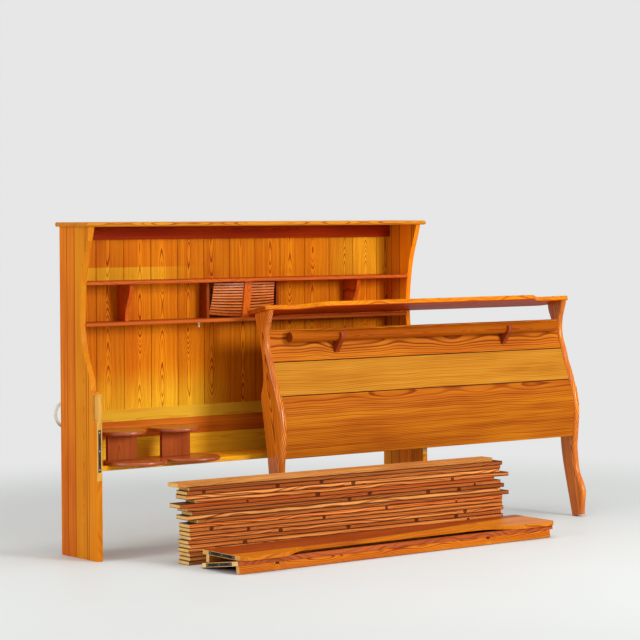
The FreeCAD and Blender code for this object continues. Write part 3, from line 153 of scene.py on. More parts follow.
class Graph:
    """Short names for the nodes of one material or world."""

    def __init__(self, owner):
        owner.use_nodes = True
        self.owner = owner
        self.tree = owner.node_tree
        self.shader = self.tree.nodes.get("Principled BSDF")

    def new(self, kind, **settings):
        node = self.tree.nodes.new("ShaderNode" + kind)
        for name, value in settings.items():
            setattr(node, name, value)
        return node

    def put(self, value, socket):
        """Link a socket's value, or write a plain one."""
        if isinstance(value, bpy.types.NodeSocket):
            self.tree.links.new(value, socket)
        else:
            socket.default_value = value

    def math(self, operation, *values, clamp=False):
        node = self.new("Math", operation=operation, use_clamp=clamp)
        for value, socket in zip(values, node.inputs):
            self.put(value, socket)
        return node.outputs[0]

    def add(self, first, *others):
        for other in others:
            first = self.math("ADD", first, other)
        return first

    def times(self, first, *others):
        for other in others:
            first = self.math("MULTIPLY", first, other)
        return first

    def minus(self, first, second):
        return self.math("SUBTRACT", first, second)

    def largest(self, first, *others):
        for other in others:
            first = self.math("MAXIMUM", first, other)
        return first

    def length(self, first, second):
        """Length of the slope over two square sides."""
        return self.math("SQRT", self.add(self.times(first, first), self.times(second, second)))

    def absolute(self, value):
        return self.math("ABSOLUTE", value)

    def above(self, value, limit):
        return self.math("GREATER_THAN", value, limit)

    def below(self, value, limit):
        return self.math("LESS_THAN", value, limit)

    def between(self, value, low, high):
        return self.times(self.above(value, low), self.below(value, high))

    def smooth(self, value, none_at, full_at):
        """Eased step from nought to one; it falls where the second place is the lower one."""
        node = self.new("MapRange", interpolation_type="SMOOTHSTEP")
        self.put(value, node.inputs["Value"])
        self.put(none_at, node.inputs["From Min"])
        self.put(full_at, node.inputs["From Max"])
        return node.outputs[0]

    def mix(self, factor, first_colour, second_colour, blend="MIX"):
        node = self.new("Mix", data_type="RGBA", blend_type=blend)
        self.put(factor, node.inputs["Factor"])
        self.put(first_colour, node.inputs[6])
        self.put(second_colour, node.inputs[7])
        return node.outputs[2]

    def combine(self, *values):
        node = self.new("CombineXYZ")
        for value, socket in zip(values, node.inputs):
            self.put(value, socket)
        return node.outputs[0]

    def separate(self, vector):
        node = self.new("SeparateXYZ")
        self.put(vector, node.inputs[0])
        return node.outputs

    def stretched(self, point, factors):
        """Point with each of its coordinates multiplied."""
        return self.combine(*(self.times(value, factor) for value, factor in zip(point, factors)))

    def noise(self, vector, scale=1.0, detail=2.0, roughness=0.5):
        node = self.new("TexNoise")
        self.put(vector, node.inputs["Vector"])
        self.put(scale, node.inputs["Scale"])
        self.put(detail, node.inputs["Detail"])
        self.put(roughness, node.inputs["Roughness"])
        return node.outputs["Fac"]

    def coordinates(self, output="Object"):
        return self.new("TexCoord").outputs[output]

    def local(self, pivot, angles):
        """Coordinates in a frame with that pivot and those angles."""
        node = self.new("Mapping", vector_type="TEXTURE")
        self.put(pivot, node.inputs["Location"])
        self.put(angles, node.inputs["Rotation"])
        self.put(self.coordinates(), node.inputs["Vector"])
        return node.outputs[0]

    def random(self, value):
        """Three even draws that belong to a number."""
        node = self.new("TexWhiteNoise", noise_dimensions="1D")
        self.put(value, node.inputs["W"])
        parts = self.new("SeparateColor")
        self.put(node.outputs["Color"], parts.inputs[0])
        return parts.outputs

    def ramp(self, value, stops):
        node = self.new("ValToRGB")
        elements = node.color_ramp.elements
        while len(elements) < len(stops):
            elements.new(0.5)
        for element, (place, colour) in zip(elements, stops):
            element.position = place
            element.color = colour
        self.put(value, node.inputs[0])
        return node.outputs[0]

    def bump(self, height, strength, distance):
        node = self.new("Bump")
        self.put(strength, node.inputs["Strength"])
        self.put(distance, node.inputs["Distance"])
        self.put(height, node.inputs["Height"])
        self.put(node.outputs[0], self.shader.inputs["Normal"])

    def surface(self, first, second, factor):
        """Show two shaders blended, the second by the factor."""
        blend = self.new("MixShader")
        self.put(factor, blend.inputs[0])
        self.put(first.outputs[0], blend.inputs[1])
        self.put(second.outputs[0], blend.inputs[2])
        output = next(node for node in self.tree.nodes if node.bl_idname.startswith("ShaderNodeOutput"))
        self.put(blend.outputs[0], output.inputs["Surface"])


def material(name):
    return Graph(bpy.data.materials.new(name))


def dress(look, *names):
    """Give CAD pieces a material in every slot."""
    for name in names:
        slots = nodes[name].data.materials
        if slots:
            for number in range(len(slots)):
                slots[number] = look
        else:
            slots.append(look)


# Pine: each palette runs from light earlywood to dark latewood

PALETTES = {
    "orange": (srgb("e59016"), srgb("d27514"), srgb("93380a")),
    "red": (srgb("cf6a22"), srgb("b64f1a"), srgb("7a2a0c")),
    "deep": (srgb("b25a1c"), srgb("983f12"), srgb("62200a")),
    "yellow": (srgb("efb23c"), srgb("e29c2e"), srgb("b56a1c")),
    "gold": (srgb("e89c28"), srgb("da861c"), srgb("ad5a12")),
    "slat": (srgb("e2a05c"), srgb("c2793c"), srgb("7c3716")),
    "rust": (srgb("b65a24"), srgb("9c4419"), srgb("662710")),
    "pale": (srgb("f0cc90"), srgb("e0b06a"), srgb("bb8040")),
    "tan": (srgb("e18829"), srgb("c66620"), srgb("85380f")),
    # pale palette used as painted light on the back boards
    "lit_pale": (srgb("f2cb47"), srgb("e5b337"), srgb("b77a22")),
    "brown": (srgb("c94e19"), srgb("b23913"), srgb("771d07")),
}
VARNISHED_STOPS = (0.0, 0.34, 0.95)
RAW_STOPS = (0.0, 0.4, 1.0)
SEAM_COLOUR = srgb("2c0f05")
JOINT_COLOUR = srgb("481a07")
KNOT_COLOUR = srgb("481706")
RED_CAST = srgb("b24a16")

# Frames in which the pieces lie straight, as in the part: a pivot and Euler angles

LEAN = math.radians(10.5)
STACK_YAW = math.radians(-0.95)
RAIL_YAW = math.radians(1.1)
RAIL_WIDTH = 0.300
LOWER_RAIL_RISE = 0.037
LOWER_RAIL_RUN = 0.268
LOWER_RAIL_TILT = math.atan(LOWER_RAIL_RISE / LOWER_RAIL_RUN)
UPPER_RAIL_TILT = math.radians(0.525)
HEADBOARD = (Vector((0.0, 0.0, 0.0)), (0.0, 0.0, 0.0))
FOOTBOARD = (row(0.936, 0.455, 0.0), (-LEAN, 0.0, 0.0))
STACK = (row(0.266, 0.668, 0.0), (0.0, 0.0, STACK_YAW))
LOWER_RAIL = (row(0.267, 1.0462, RAIL_WIDTH * math.sin(LOWER_RAIL_TILT)), (-LOWER_RAIL_TILT, 0.0, RAIL_YAW))
UPPER_RAIL = (row(2.211, 0.7231, 0.0637), (-UPPER_RAIL_TILT, 0.0, RAIL_YAW + math.pi))


def span(name, frame_of, letter):
    """Least and greatest coordinate of a piece in one direction of a frame."""
    pivot, angles = frame_of
    back = Euler(angles).to_matrix().inverted()
    direction = "xyz".index(letter)
    values = [(back @ (vertex.co - pivot))[direction] for vertex in nodes[name].data.vertices]
    return min(values), max(values)


def board_numbers(g, place, pitch, cuts, seed):
    """Number of the board at a point and, where all are alike, the place across that board."""
    if pitch:
        letter, start, width = pitch
        counted = g.math("DIVIDE", g.minus(place[letter], start), width)
        inside = g.times(g.minus(g.math("FRACT", counted), 0.5), width)
        return g.add(g.math("FLOOR", counted), seed), inside
    number = seed
    if cuts:
        letter, limits = cuts
        for limit in limits:
            number = g.add(number, g.above(place[letter], limit))
    return number, None


# Unevenness of the rings: stretches per metre and depths in metres at a wave of one

SLOW_STRETCH = (1.3, 5.0, 1.0)
FINE_STRETCH = (5.0, 60.0, 1.0)
WANDER_STRETCH = (2.4, 3.1, 1.0)
SWAY_STRETCH = (1.1, 5.7, 1.0)
WANDER_LAYER = 0.5
SWAY_LAYER = 7.5
WANDER_DEPTH = 0.14
SWAY_DEPTH = 0.05
SLOW_DEPTH = 0.012
FINE_DEPTH = 0.004


def pith_distance(g, point, number, wave):
    """Uneven distance to the pith, and the slow noise that belongs to it."""
    along, side, depth = point
    slow = g.noise(g.stretched(point, SLOW_STRETCH))
    fine = g.noise(g.stretched(point, FINE_STRETCH))
    wander = g.noise(g.stretched((along, number, WANDER_LAYER), WANDER_STRETCH), detail=1.0)
    sway = g.noise(g.stretched((along, number, SWAY_LAYER), SWAY_STRETCH), detail=1.0)
    side = g.add(side, g.times(g.minus(sway, 0.5), SWAY_DEPTH * wave))
    uneven = ((wander, WANDER_DEPTH), (slow, SLOW_DEPTH), (fine, FINE_DEPTH))
    return g.add(g.length(side, depth), *(g.times(noise, size * wave) for noise, size in uneven)), slow


# Knots: cells per metre, and sizes as shares of a cell

NARROW_CELLS = 4.5
NARROW_BOARD_STEP = 17.3
WIDE_CELLS = (3.2, 9.0, 1.7)
KNOT_OFF_CENTRE = 0.05
KNOT_LEAST = 0.03
KNOT_MORE = 0.035
BULGE_NONE_AT = 0.26
BULGE_FULL_AT = 0.03


def knot_marks(g, along, side, number, middle, knots, narrow):
    """The knots, and the stretch round each where the rings give way to it."""
    cells = g.new("TexVoronoi")
    g.put(1.0, cells.inputs["Scale"])
    if narrow:
        cells.voronoi_dimensions = "1D"
        g.put(g.add(g.times(along, NARROW_CELLS), g.times(number, NARROW_BOARD_STEP)), cells.inputs["W"])
    else:
        g.put(g.stretched((along, side, number), WIDE_CELLS), cells.inputs["Vector"])
    draw = g.separate(cells.outputs["Color"])
    chosen = g.below(draw[0], knots)
    gone = cells.outputs["Distance"]
    if narrow:
        height = g.add(g.times(middle, NARROW_CELLS), g.times(g.minus(draw[1], 0.5), KNOT_OFF_CENTRE))
        gone = g.length(gone, height)
    near = g.times(g.smooth(gone, BULGE_NONE_AT, BULGE_FULL_AT), chosen)
    knot = g.times(g.below(gone, g.add(g.times(draw[2], KNOT_MORE), KNOT_LEAST)), chosen)
    return knot, near


# Latewood: shares of a ring, and of the darkness that each part gives

LINE_RISE = (0.5, 0.88)
LINE_FALL = (1.0, 0.93)
SLOPE_SHARE = 0.25
LINE_SHARE = 0.75
LEAST_RING = 0.35
MORE_RING = 0.9


def latewood(g, radius, ring):
    """Dark line at the end of each growth ring, not the same for every ring."""
    phase = g.math("DIVIDE", radius, ring)
    tooth = g.math("FRACT", phase)
    line = g.times(g.smooth(tooth, *LINE_RISE), g.smooth(tooth, *LINE_FALL))
    late = g.add(g.times(tooth, tooth, SLOPE_SHARE), g.times(line, LINE_SHARE))
    strength = g.random(g.math("FLOOR", phase))[0]
    return g.times(late, g.add(g.times(strength, MORE_RING), LEAST_RING))


# Fibres: stretches per metre

STREAK_STRETCH = (0.9, 34.0, 12.0)
THREAD_STRETCH = (1.6, 110.0, 50.0)
STREAK_GAIN = 1.5


def fibres(g, point):
    """Fine streaks and threads along the grain, about one half."""
    streak = g.noise(g.stretched(point, STREAK_STRETCH), detail=3.0, roughness=0.65)
    thread = g.noise(g.stretched(point, THREAD_STRETCH), roughness=0.6)
    both = g.add(g.times(streak, 0.5), g.times(thread, 0.5))
    return g.add(g.times(g.minus(both, 0.5), STREAK_GAIN), 0.5)


# Ends, glue lines and joints, with the dark core of a line as a share of its half width

END_FACING = 0.9
SIDE_FACING = 0.5
SEAM_CORE_SHARE = 0.4
JOINT_CORE_SHARE = 0.2


def end_faces(g, grain, angles):
    """One on the faces that look along the grain."""
    axis = Vector([float(letter == grain) for letter in "xyz"])
    facing = g.new("VectorMath", operation="DOT_PRODUCT")
    g.put(g.coordinates("Normal"), facing.inputs[0])
    g.put(Euler(angles).to_matrix() @ axis, facing.inputs[1])
    return g.above(g.absolute(facing.outputs["Value"]), END_FACING)


def seam_line(g, place, letter, where, half):
    """Glue line between two boards; one across the depth shows on the sides alone."""
    gap = g.absolute(g.minus(place[letter], where))
    line = g.smooth(gap, half, half * SEAM_CORE_SHARE)
    if letter == "y":
        facing = g.absolute(g.separate(g.coordinates("Normal"))[0])
        line = g.times(line, g.above(facing, SIDE_FACING))
    return line


# What sets one board apart: steps between the numbers drawn from, and the most that its figure shifts

FIRST_DRAW_STEP = 7.31
SECOND_DRAW_STEP = 3.77
SECOND_DRAW_START = 11.0
SHIFT_ALONG = 9.0
DEEPER_SHARE = 0.8

# Tone and relief of the wood

PATCH_STRETCH = (2.2, 9.0, 0.9)
PATCH_SHARE = 0.7
TONE_START = 0.22
KNOT_BULGE = 0.025
KNOT_SHARE = 0.85
LYING_JOINT_SHARE = 0.9
FACE_JOINT_SHARE = 0.6
ROUGHNESS_RANGE = 0.14
RING_RELIEF_SHARE = 0.6
RELIEF_STRENGTH = 0.12
RELIEF_DEPTH = 0.0006


def pine(name, pieces, palette, grain, across, frame_of=HEADBOARD, pitch=None, cuts=None, seed=0.0,
         ring=0.0045, heart=0.012, aside=0.0, spread=0.06, wave=0.5, contrast=0.6, streaks=0.75,
         variety=0.12, second=None, knots=0.0, narrow=False, ends=None, bare=None, seams=(),
         joint=0.0022, tint=None, roughness=0.42, shine=0.04):
    """Dress pieces in pine; the first of them places the figure.

    grain and across are the directions along the fibres and over the face, in frame_of.
    pitch is a direction, a start and a board's width; cuts a direction and the joints' places.
    seed numbers the first board, and the number picks each board's figure and shade.
    ring is a growth ring's width, heart the pith's depth behind the face and aside its shift over
    the face; spread is how far boards differ in it and wave how uneven the rings are.
    contrast and streaks darken rings and fibres; variety sets boards apart in shade.
    second is another palette with its mask, bare the mask of raw wood, ends the end faces' palette.
    knots is the share of cells with one, and narrow says that the piece shows board edges.
    seams are directions, places and half widths of glue lines; joint is the line between boards.
    tint is a factor on the linear colour.
    """
    g = material("pine_" + name)
    place = dict(zip("xyz", g.separate(g.local(*frame_of))))
    thick = next(letter for letter in "xyz" if letter not in (grain, across))
    along = place[grain]
    side = g.minus(place[across], sum(span(pieces[0], frame_of, across)) / 2)
    depth = g.minus(place[thick], span(pieces[0], frame_of, thick)[0])
    number, inside = board_numbers(g, place, pitch, cuts, seed)
    if pitch and pitch[0] == across:
        side = inside
    if pitch and pitch[0] == thick:
        depth = inside
    chance = g.random(g.times(number, FIRST_DRAW_STEP))
    other = g.random(g.add(g.times(number, SECOND_DRAW_STEP), SECOND_DRAW_START))
    along = g.add(along, g.times(chance[2], SHIFT_ALONG))
    side = g.add(side, g.times(g.minus(chance[0], 0.5), spread), aside)
    depth = g.add(depth, g.add(g.times(chance[1], DEEPER_SHARE * heart), heart))
    point = (along, side, depth)

    radius, slow = pith_distance(g, point, number, wave)
    if knots:
        knot, near = knot_marks(g, along, side, number, inside if pitch else side, knots, narrow)
        radius = g.add(radius, g.times(near, KNOT_BULGE))
    late = latewood(g, radius, ring)
    streak = fibres(g, point)
    patch = g.noise(g.stretched((along, side, number), PATCH_STRETCH), roughness=0.6)
    tone = g.add(g.times(late, contrast), g.times(streak, streaks))
    tone = g.add(tone, g.times(g.minus(patch, 0.5), PATCH_SHARE))
    tone = g.math("SUBTRACT", tone, TONE_START, clamp=True)

    def painted(kind, places):
        return g.ramp(tone, list(zip(places, PALETTES[kind])))

    colour = painted(palette, VARNISHED_STOPS)
    if second:
        kind, mask = second
        colour = g.mix(mask(g, place, chance, slow), colour, painted(kind, VARNISHED_STOPS))
    shade = g.add(g.times(other[0], 2 * variety), 1.0 - variety)
    colour = g.mix(1.0, colour, g.combine(shade, shade, shade), "MULTIPLY")
    colour = g.mix(g.times(other[1], variety), colour, RED_CAST)
    if knots:
        colour = g.mix(g.times(knot, KNOT_SHARE), colour, KNOT_COLOUR)
    if bare:
        colour = g.mix(bare(g, place), colour, painted("pale", RAW_STOPS))
    if ends:
        colour = g.mix(end_faces(g, grain, frame_of[1]), colour, painted(ends, RAW_STOPS))
    for seam in seams:
        colour = g.mix(seam_line(g, place, *seam), colour, SEAM_COLOUR)
    if pitch and joint:
        half = pitch[2] / 2
        edge = g.smooth(g.absolute(inside), half - joint, half - JOINT_CORE_SHARE * joint)
        share = LYING_JOINT_SHARE if pitch[0] == thick else FACE_JOINT_SHARE
        colour = g.mix(g.times(edge, share), colour, JOINT_COLOUR)
    if tint:
        colour = g.mix(1.0, colour, (*tint, 1.0), "MULTIPLY")
    g.put(colour, g.shader.inputs["Base Color"])
    g.put(g.add(g.times(g.minus(streak, 0.5), ROUGHNESS_RANGE), roughness), g.shader.inputs["Roughness"])
    g.put(shine, g.shader.inputs["Specular IOR Level"])
    g.bump(g.add(g.times(late, RING_RELIEF_SHARE), streak), RELIEF_STRENGTH, RELIEF_DEPTH)
    dress(g.owner, *pieces)


# Uprights of the headboard, with four glue lines down their depth

STAVE_JOINTS = [HEADBOARD_BACK - depth for depth in (0.243, 0.226, 0.129, 0.062)]
BACK_STAVE = STAVE_JOINTS[2]
STAVE_SEAM_HALF = 0.002
FRONT_EDGE_Y = HEADBOARD_BACK - 0.3125
REBATE_Y = HEADBOARD_BACK - 0.2825
REBATE_REACH = 0.0103
REBATE_BOTTOM = 0.646
BARE_BOTTOM = 0.373
BARE_TOP = 0.772


def bare_front(face, inward):
    """Raw strip on an upright's front edge and in the rebate by its outer face."""
    def mask(g, place):
        strip = g.times(g.below(place["y"], FRONT_EDGE_Y), g.between(place["z"], BARE_BOTTOM, BARE_TOP))
        rebate = g.times(g.below(place["y"], REBATE_Y), g.between(place["z"], REBATE_BOTTOM, BARE_TOP))
        shallow = g.below(g.times(g.minus(place["x"], face), inward), REBATE_REACH)
        return g.largest(strip, g.times(rebate, shallow))
    return mask


def back_stave(g, place, chance, slow):
    """The staves behind the third glue line."""
    return g.above(place["y"], BACK_STAVE)


upright = {"cuts": ("y", STAVE_JOINTS), "seams": [("y", joint, STAVE_SEAM_HALF) for joint in STAVE_JOINTS],
           "spread": 0.2}
pine("left_upright", ["headboard_left_upright"], "gold", "z", "y", seed=3.0, contrast=0.3, variety=0.1,
     second=("tan", back_stave), bare=bare_front(HEADBOARD_LEFT, 1.0), tint=(0.85, 0.71, 0.37), **upright)
pine("right_upright", ["headboard_right_upright"], "orange", "z", "y", seed=9.0, contrast=0.4, variety=0.14,
     second=("gold", back_stave), bare=bare_front(HEADBOARD_RIGHT, -1.0), tint=(1.2, 1.1, 0.7), **upright)

# Top of the headboard

pine("top_board", ["headboard_top_board"], "orange", "x", "y", seed=14.0, contrast=0.7,
     tint=(0.9, 1.05, 1.5))
pine("top_rail", ["headboard_top_rail"], "deep", "x", "z", seed=15.0, contrast=0.4,
     tint=(0.95, 0.36, 0.05), shine=0.02)

# Upright boards at the back

FIRST_BOARD_X = HEADBOARD_LEFT + 0.027
BOARD_WIDTH = 0.1545
# Places of the painted light on the back boards: paler wood low on the left, a band of light bounced off
# the upper shelf, a light patch by its right end
LOW_FULL_Z = 0.72
LOW_NONE_Z = 0.95
LOW_WAVE = 0.1
LOW_FULL_X = HEADBOARD_LEFT + 0.75
LOW_NONE_X = HEADBOARD_LEFT + 1.0
BAND_BOTTOM = 1.27
BAND_TOP = 1.345
BAND_FULL_X = HEADBOARD_LEFT + 0.35
BAND_NONE_X = HEADBOARD_LEFT + 0.85
PATCH_NONE_X = HEADBOARD_LEFT + 1.45
PATCH_FULL_X = HEADBOARD_LEFT + 1.85
PATCH_FULL_Z = 1.30
PATCH_LIGHT_SHARE = 0.8
PAINTED_LIGHT_SHARE = 0.75
BACK_FACING = 0.5


def painted_light_on_boards(g, place, chance, slow):
    """Painted light on the back boards: paler wood low on the left, ending where the footboard's shadow
    falls; a painted band of light bounced off the upper shelf over its left end; a painted light patch by
    its right end.
    """
    low = g.smooth(g.add(place["z"], g.times(slow, LOW_WAVE)), LOW_NONE_Z, LOW_FULL_Z)
    low = g.times(low, g.smooth(place["x"], LOW_NONE_X, LOW_FULL_X))
    band = g.times(g.between(place["z"], BAND_BOTTOM, BAND_TOP),
                   g.smooth(place["x"], BAND_NONE_X, BAND_FULL_X))
    right = g.times(g.smooth(place["z"], BAND_BOTTOM, PATCH_FULL_Z), PATCH_LIGHT_SHARE)
    right = g.times(right, g.smooth(place["x"], PATCH_NONE_X, PATCH_FULL_X))
    facing = g.separate(g.coordinates("Normal"))[1]
    return g.times(g.largest(low, band, right), PAINTED_LIGHT_SHARE, g.below(facing, BACK_FACING))


# The second, paler palette on the back boards is painted light, laid where they look lit
pine("back_boards", ["headboard_back_boards"], "orange", "z", "x", pitch=("x", FIRST_BOARD_X, BOARD_WIDTH),
     seed=20.0, ring=0.0038, heart=0.018, spread=0.07, wave=0.7, contrast=1.35,
     second=("lit_pale", painted_light_on_boards), tint=(1.08, 0.99, 0.42), shine=0.02)

# Shelves and the lamp between them

BETWEEN_SHELVES = 1.2
LOWEST_LATH_Z = 1.0995
LATH_PITCH = 0.0129
# Where the laths' painted highlight starts and is full, by how far a face looks forward
HIGHLIGHT_NONE_AT = -0.25
HIGHLIGHT_FULL_AT = -0.7

pine("shelves", ["upper_shelf", "lower_shelf"], "red", "x", "y", cuts=("z", [BETWEEN_SHELVES]), seed=40.0,
     contrast=0.4)
pine("brackets", ["left_shelf_bracket", "right_shelf_bracket"], "red", "z", "y", seed=44.0, contrast=0.5,
     tint=(1.1, 1.0, 0.6))
# The partitions' deep palette and dark tint are painted shade, for the shadowed recess beside the lamp
pine("partitions", ["lamp_left_partition", "lamp_right_partition"], "deep", "z", "y", seed=47.0,
     contrast=0.5, tint=(0.75, 0.6, 0.5))


def lath_painted_highlight(g, place, chance, slow):
    """Painted highlight: the laths' rounded front edges, where they face forward, take the lighter palette
    as if lit; the rest keep the darker one.
    """
    return g.smooth(g.separate(g.coordinates("Normal"))[1], HIGHLIGHT_NONE_AT, HIGHLIGHT_FULL_AT)


# The lighter palette on the laths' forward faces is a painted highlight
pine("laths", ["lamp_shade_laths"], "deep", "x", "y", pitch=("z", LOWEST_LATH_Z, LATH_PITCH), joint=0.0,
     seed=50.0, contrast=0.3, variety=0.1, second=("slat", lath_painted_highlight), tint=(1.12, 0.78, 0.6),
     roughness=0.24, shine=0.4)
pine("spine", ["lamp_shade_spine"], "red", "z", "x", seed=52.0, contrast=0.3, tint=(1.3, 1.2, 0.7),
     roughness=0.26, shine=0.3)

# Yellow boards below and the bottom shelf

PLANK_JOINT_Z = 0.5325


def upper_plank(g, place, chance, slow):
    """The upper one of the two lying boards."""
    return g.above(place["z"], PLANK_JOINT_Z)


pine("back_rail", ["lower_back_rail"], "yellow", "x", "z", seed=60.0, wave=0.3, contrast=0.35,
     tint=(0.88, 1.03, 0.64))
pine("low_boards", ["lower_back_boards"], "yellow", "x", "z", cuts=("z", [PLANK_JOINT_Z]), seed=63.0,
     wave=0.3, contrast=0.4, second=("red", upper_plank), tint=(1.12, 1.36, 0.68))
pine("bottom_shelf", ["bottom_shelf"], "yellow", "x", "y", seed=66.0, wave=0.3, contrast=0.35,
     tint=(1.12, 1.02, 0.32))

# Legs and crown of the footboard

# Height below which the crown's colour is painted shade
CROWN_SHADE_BELOW = 1.1345

for hand, leg_seed in (("left", 71.0), ("right", 72.0)):
    pine(hand + "_leg", ["footboard_" + hand + "_leg"], "red", "z", "y", FOOTBOARD, seed=leg_seed,
         ring=0.0065, spread=0.02, contrast=1.2, ends="red", tint=(1.22, 1.65, 0.85), roughness=0.2,
         shine=0.3)


def crown_painted_shade(g, place, chance, slow):
    """Painted shade: the crown's lower half takes the darker brown palette, as its underside is shaded."""
    return g.below(place["z"], CROWN_SHADE_BELOW)


# The brown lower half of the crown is painted shade
pine("crown", ["footboard_top_board"], "orange", "x", "y", FOOTBOARD, seed=75.0, spread=0.05,
     second=("brown", crown_painted_shade), ends="deep", tint=(1.0, 0.95, 0.5), roughness=0.5, shine=0.05)

# Panels of the footboard, with a dark line where two of them meet

PANEL_SEAM_HALF = 0.0035
REDDER_NONE_Z = 0.66
REDDER_FULL_Z = 0.74
REDDER_WAVE = 0.12
REDDER_SHARE = 0.35


def upper_part(g, place, chance, slow):
    """The lower panel is redder towards its upper edge."""
    height = g.add(place["z"], g.times(slow, REDDER_WAVE))
    return g.times(g.smooth(height, REDDER_NONE_Z, REDDER_FULL_Z), REDDER_SHARE)


middle_panel = span("footboard_middle_panel", FOOTBOARD, "z")
panel = {"frame_of": FOOTBOARD, "heart": 0.03, "wave": 0.35, "shine": 0.02,
         "seams": [("z", edge, PANEL_SEAM_HALF) for edge in middle_panel]}
pine("panel_upper", ["footboard_upper_panel"], "red", "x", "z", seed=78.0, ring=0.006, spread=0.04,
     contrast=1.0, tint=(1.06, 1.5, 0.85), **panel)
pine("panel_middle", ["footboard_middle_panel"], "yellow", "x", "z", seed=81.0, ring=0.008, aside=0.11,
     streaks=1.0, knots=0.05, tint=(0.65, 0.58, 0.55), **panel)
pine("panel_lower", ["footboard_lower_panel"], "orange", "x", "z", seed=84.0, ring=0.008, aside=-0.13,
     contrast=0.65, streaks=1.15, second=("red", upper_part), tint=(0.67, 0.68, 0.75), **panel)

# Bedspread pole and its hooks

pine("pole", ["bedspread_pole"], "orange", "x", "z", FOOTBOARD, seed=87.0, wave=0.3, contrast=0.5,
     ends="deep", tint=(0.48, 0.34, 0.26), shine=0.03)
pine("hooks", ["left_pole_hook", "right_pole_hook"], "rust", "z", "y", FOOTBOARD, seed=90.0,
     contrast=0.4, tint=(0.72, 0.52, 0.38), shine=0.15)

# Trays

between_trays = ("x", [HEADBOARD_LEFT + 0.37])
pine("tray_discs", ["left_tray_upper_disc", "left_tray_lower_disc", "right_tray_lower_disc",
                    "right_tray_upper_disc"],
     "rust", "x", "y", cuts=between_trays, seed=93.0, roughness=0.26, shine=0.5)
pine("tray_webs", ["left_tray_web", "right_tray_web"], "rust", "z", "x", cuts=between_trays, seed=96.0,
     contrast=0.5)

# Slats

SLAT_THICKNESS = 0.0188
MOST_DARKENING = 0.9


def darker_slat(g, place, chance, slow):
    """Each slat is darker by its own share."""
    return g.times(chance[0], MOST_DARKENING)


pine("slats", ["slat_stack"], "slat", "x", "y", STACK, pitch=("z", 0.0, SLAT_THICKNESS), joint=0.0046,
     seed=100.0, wave=0.2, contrast=0.9, variety=0.42, second=("red", darker_slat), knots=0.28, narrow=True,
     ends="pale", tint=(0.95, 0.96, 0.85), roughness=0.5)
pine("top_slat", ["top_slat"], "slat", "x", "y", STACK, seed=131.0, spread=0.05, contrast=0.4, knots=0.08,
     ends="pale", tint=(0.82, 0.79, 0.66), roughness=0.5)

# Side rails

SAP_FAR_X = 1.3
SAP_WIDENING = 0.13
SAP_WAVE = 0.03
SAP_NONE_Y = 0.212
SAP_FULL_Y = 0.226


def sapwood_edge(g, place, chance, slow):
    """Light sapwood along the upper rail's shaped edge, wider towards the far end."""
    along = g.times(g.smooth(place["x"], SAP_FAR_X, 0.0), SAP_WIDENING)
    return g.smooth(g.add(place["y"], along, g.times(slow, SAP_WAVE)), SAP_NONE_Y, SAP_FULL_Y)


pine("lower_rail", ["lower_rail_board"], "rust", "x", "y", LOWER_RAIL, seed=140.0, knots=0.08, ends="pale",
     shine=0.08)
pine("upper_rail", ["upper_rail_board"], "rust", "x", "y", UPPER_RAIL, seed=145.0, contrast=0.7,
     second=("gold", sapwood_edge), ends="pale", tint=(0.85, 0.7, 0.45), shine=0.08)
pine("lower_ledger", ["lower_rail_ledger"], "orange", "x", "z", LOWER_RAIL, seed=150.0, contrast=1.1,
     knots=0.3, narrow=True, ends="pale", tint=(0.95, 0.85, 0.9))
pine("upper_ledger", ["upper_rail_ledger"], "yellow", "x", "z", UPPER_RAIL, seed=155.0, contrast=0.4,
     ends="pale")

# Peg of the lead

pine("peg", ["cord_peg"], "orange", "y", "x", seed=160.0)

# Metal, plastic and glass

MOTTLE_STOPS = (0.3, 0.7)
MOTTLE_ROUGHNESS = 0.2
SPECK_GAIN = 3
MOTTLE_DEPTH = 0.0004


def plain(name, colour, roughness, metallic=0.0, speck=0.08, scale=60.0, bump=0.05):
    """Plastic, metal or glass with a faint mottle in colour and roughness."""
    g = material(name)
    mottle = g.noise(g.coordinates(), scale, 4.0, 0.6)
    base = srgb(colour)
    darker = tuple(v * (1.0 - SPECK_GAIN * speck) for v in base[:3]) + (1.0,)
    g.put(g.ramp(mottle, list(zip(MOTTLE_STOPS, (darker, base)))), g.shader.inputs["Base Color"])
    rough = g.add(g.times(mottle, MOTTLE_ROUGHNESS), roughness - MOTTLE_ROUGHNESS / 2)
    g.put(rough, g.shader.inputs["Roughness"])
    g.put(metallic, g.shader.inputs["Metallic"])
    g.bump(mottle, bump, MOTTLE_DEPTH)
    return g.owner


dress(plain("dark_steel", "3a3835", 0.42, metallic=0.85, speck=0.16, scale=90.0),
      "headboard_hook_plates", "footboard_hook_plates", "lower_rail_plates", "upper_rail_plates")
dress(plain("zinc_screws", "9a9890", 0.35, metallic=0.9, speck=0.1, scale=200.0),
      "headboard_plate_screws", "footboard_plate_screws", "lower_rail_screws", "upper_rail_screws")
dress(plain("white_plastic", "e8e5dc", 0.35, speck=0.02, scale=150.0),
      "pull_switch_knob", "switch_ferrule", "mains_plug", "cord_strain_relief")
dress(plain("dark_plastic", "201f1e", 0.4, speck=0.05, scale=150.0), "lamp_holder")
dress(plain("opal_glass", "f3f1ea", 0.25, speck=0.01, scale=30.0, bump=0.0), "lamp_bulb")
lead.data.materials.append(plain("white_sheath", "dedacd", 0.5, speck=0.03, scale=220.0))

# Floor and backdrop, both of one paper

PAPER = srgb("e6e7e6")
FLOOR_HALF = 30.0
FLOOR_STOPS = [(0.25, srgb("d5d8d6")), (0.8, srgb("dbdedc"))]
FLOOR_CLOUDS = 0.35
FLOOR_ROUGHNESS = 0.5
FLOOR_MORE_ROUGHNESS = 0.1
FLOOR_SHINE = 0.1
FADE_START = 1.9
FADE_END = 4.4
SKY_STRENGTH = 0.54


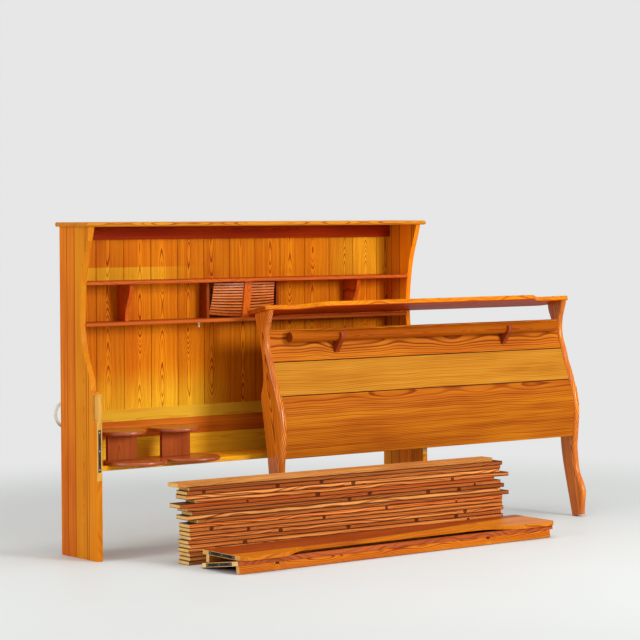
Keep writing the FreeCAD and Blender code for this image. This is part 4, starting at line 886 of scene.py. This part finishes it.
def seen(g):
    """One for the rays that show a thing and none for the rays that only light."""
    rays = g.new("LightPath").outputs
    return g.largest(rays["Is Glossy Ray"], rays["Is Transmission Ray"], rays["Is Camera Ray"])


def floor():
    """Pale floor that passes into the backdrop's colour away from the bed."""
    mesh = bpy.data.meshes.new("floor")
    corners = [(-FLOOR_HALF, -FLOOR_HALF, 0), (FLOOR_HALF, -FLOOR_HALF, 0), (FLOOR_HALF, FLOOR_HALF, 0),
               (-FLOOR_HALF, FLOOR_HALF, 0)]
    mesh.from_pydata(corners, [], [(0, 1, 2, 3)])
    piece = bpy.data.objects.new("floor", mesh)
    scene.collection.objects.link(piece)
    g = material("paper_floor")
    cloud = g.noise(g.coordinates(), FLOOR_CLOUDS, 3.0)
    g.put(g.ramp(cloud, FLOOR_STOPS), g.shader.inputs["Base Color"])
    g.put(g.add(g.times(cloud, FLOOR_MORE_ROUGHNESS), FLOOR_ROUGHNESS), g.shader.inputs["Roughness"])
    g.put(FLOOR_SHINE, g.shader.inputs["Specular IOR Level"])
    x, y, _ = g.separate(g.coordinates())
    paper = g.new("Emission")
    g.put(PAPER, paper.inputs["Color"])
    g.surface(g.shader, paper, g.times(g.smooth(g.length(x, y), FADE_START, FADE_END), seen(g)))
    mesh.materials.append(g.owner)


def studio():
    """White sky for the light, and the paper's colour for the rays that show it."""
    scene.world = bpy.data.worlds.new("studio")
    g = Graph(scene.world)
    sky = g.tree.nodes["Background"]
    g.put((1.0, 1.0, 1.0, 1.0), sky.inputs["Color"])
    g.put(SKY_STRENGTH, sky.inputs["Strength"])
    backdrop = g.new("Background")
    g.put(PAPER, backdrop.inputs["Color"])
    g.surface(sky, backdrop, seen(g))


def softbox(name, place, target, side, power):
    """Square soft light that looks at a target."""
    data = bpy.data.lights.new(name, "AREA")
    data.shape = "SQUARE"
    data.size = side
    data.energy = power
    lamp = bpy.data.objects.new(name, data)
    lamp.location = place
    lamp.rotation_euler = (Vector(target) - Vector(place)).to_track_quat("-Z", "Y").to_euler()
    scene.collection.objects.link(lamp)


floor()
studio()
softbox("key", place=(2.7, -7.6, 3.0), target=(-0.2, 0.2, 0.7), side=2.4, power=500.0)
softbox("fill", place=(-6.5, 0.0, 2.0), target=(-1.4, 0.2, 0.8), side=2.0, power=130.0)
softbox("top", place=(0.0, -0.8, 4.8), target=(0.0, 0.0, 0.0), side=3.5, power=90.0)
scene.view_settings.view_transform = "Standard"
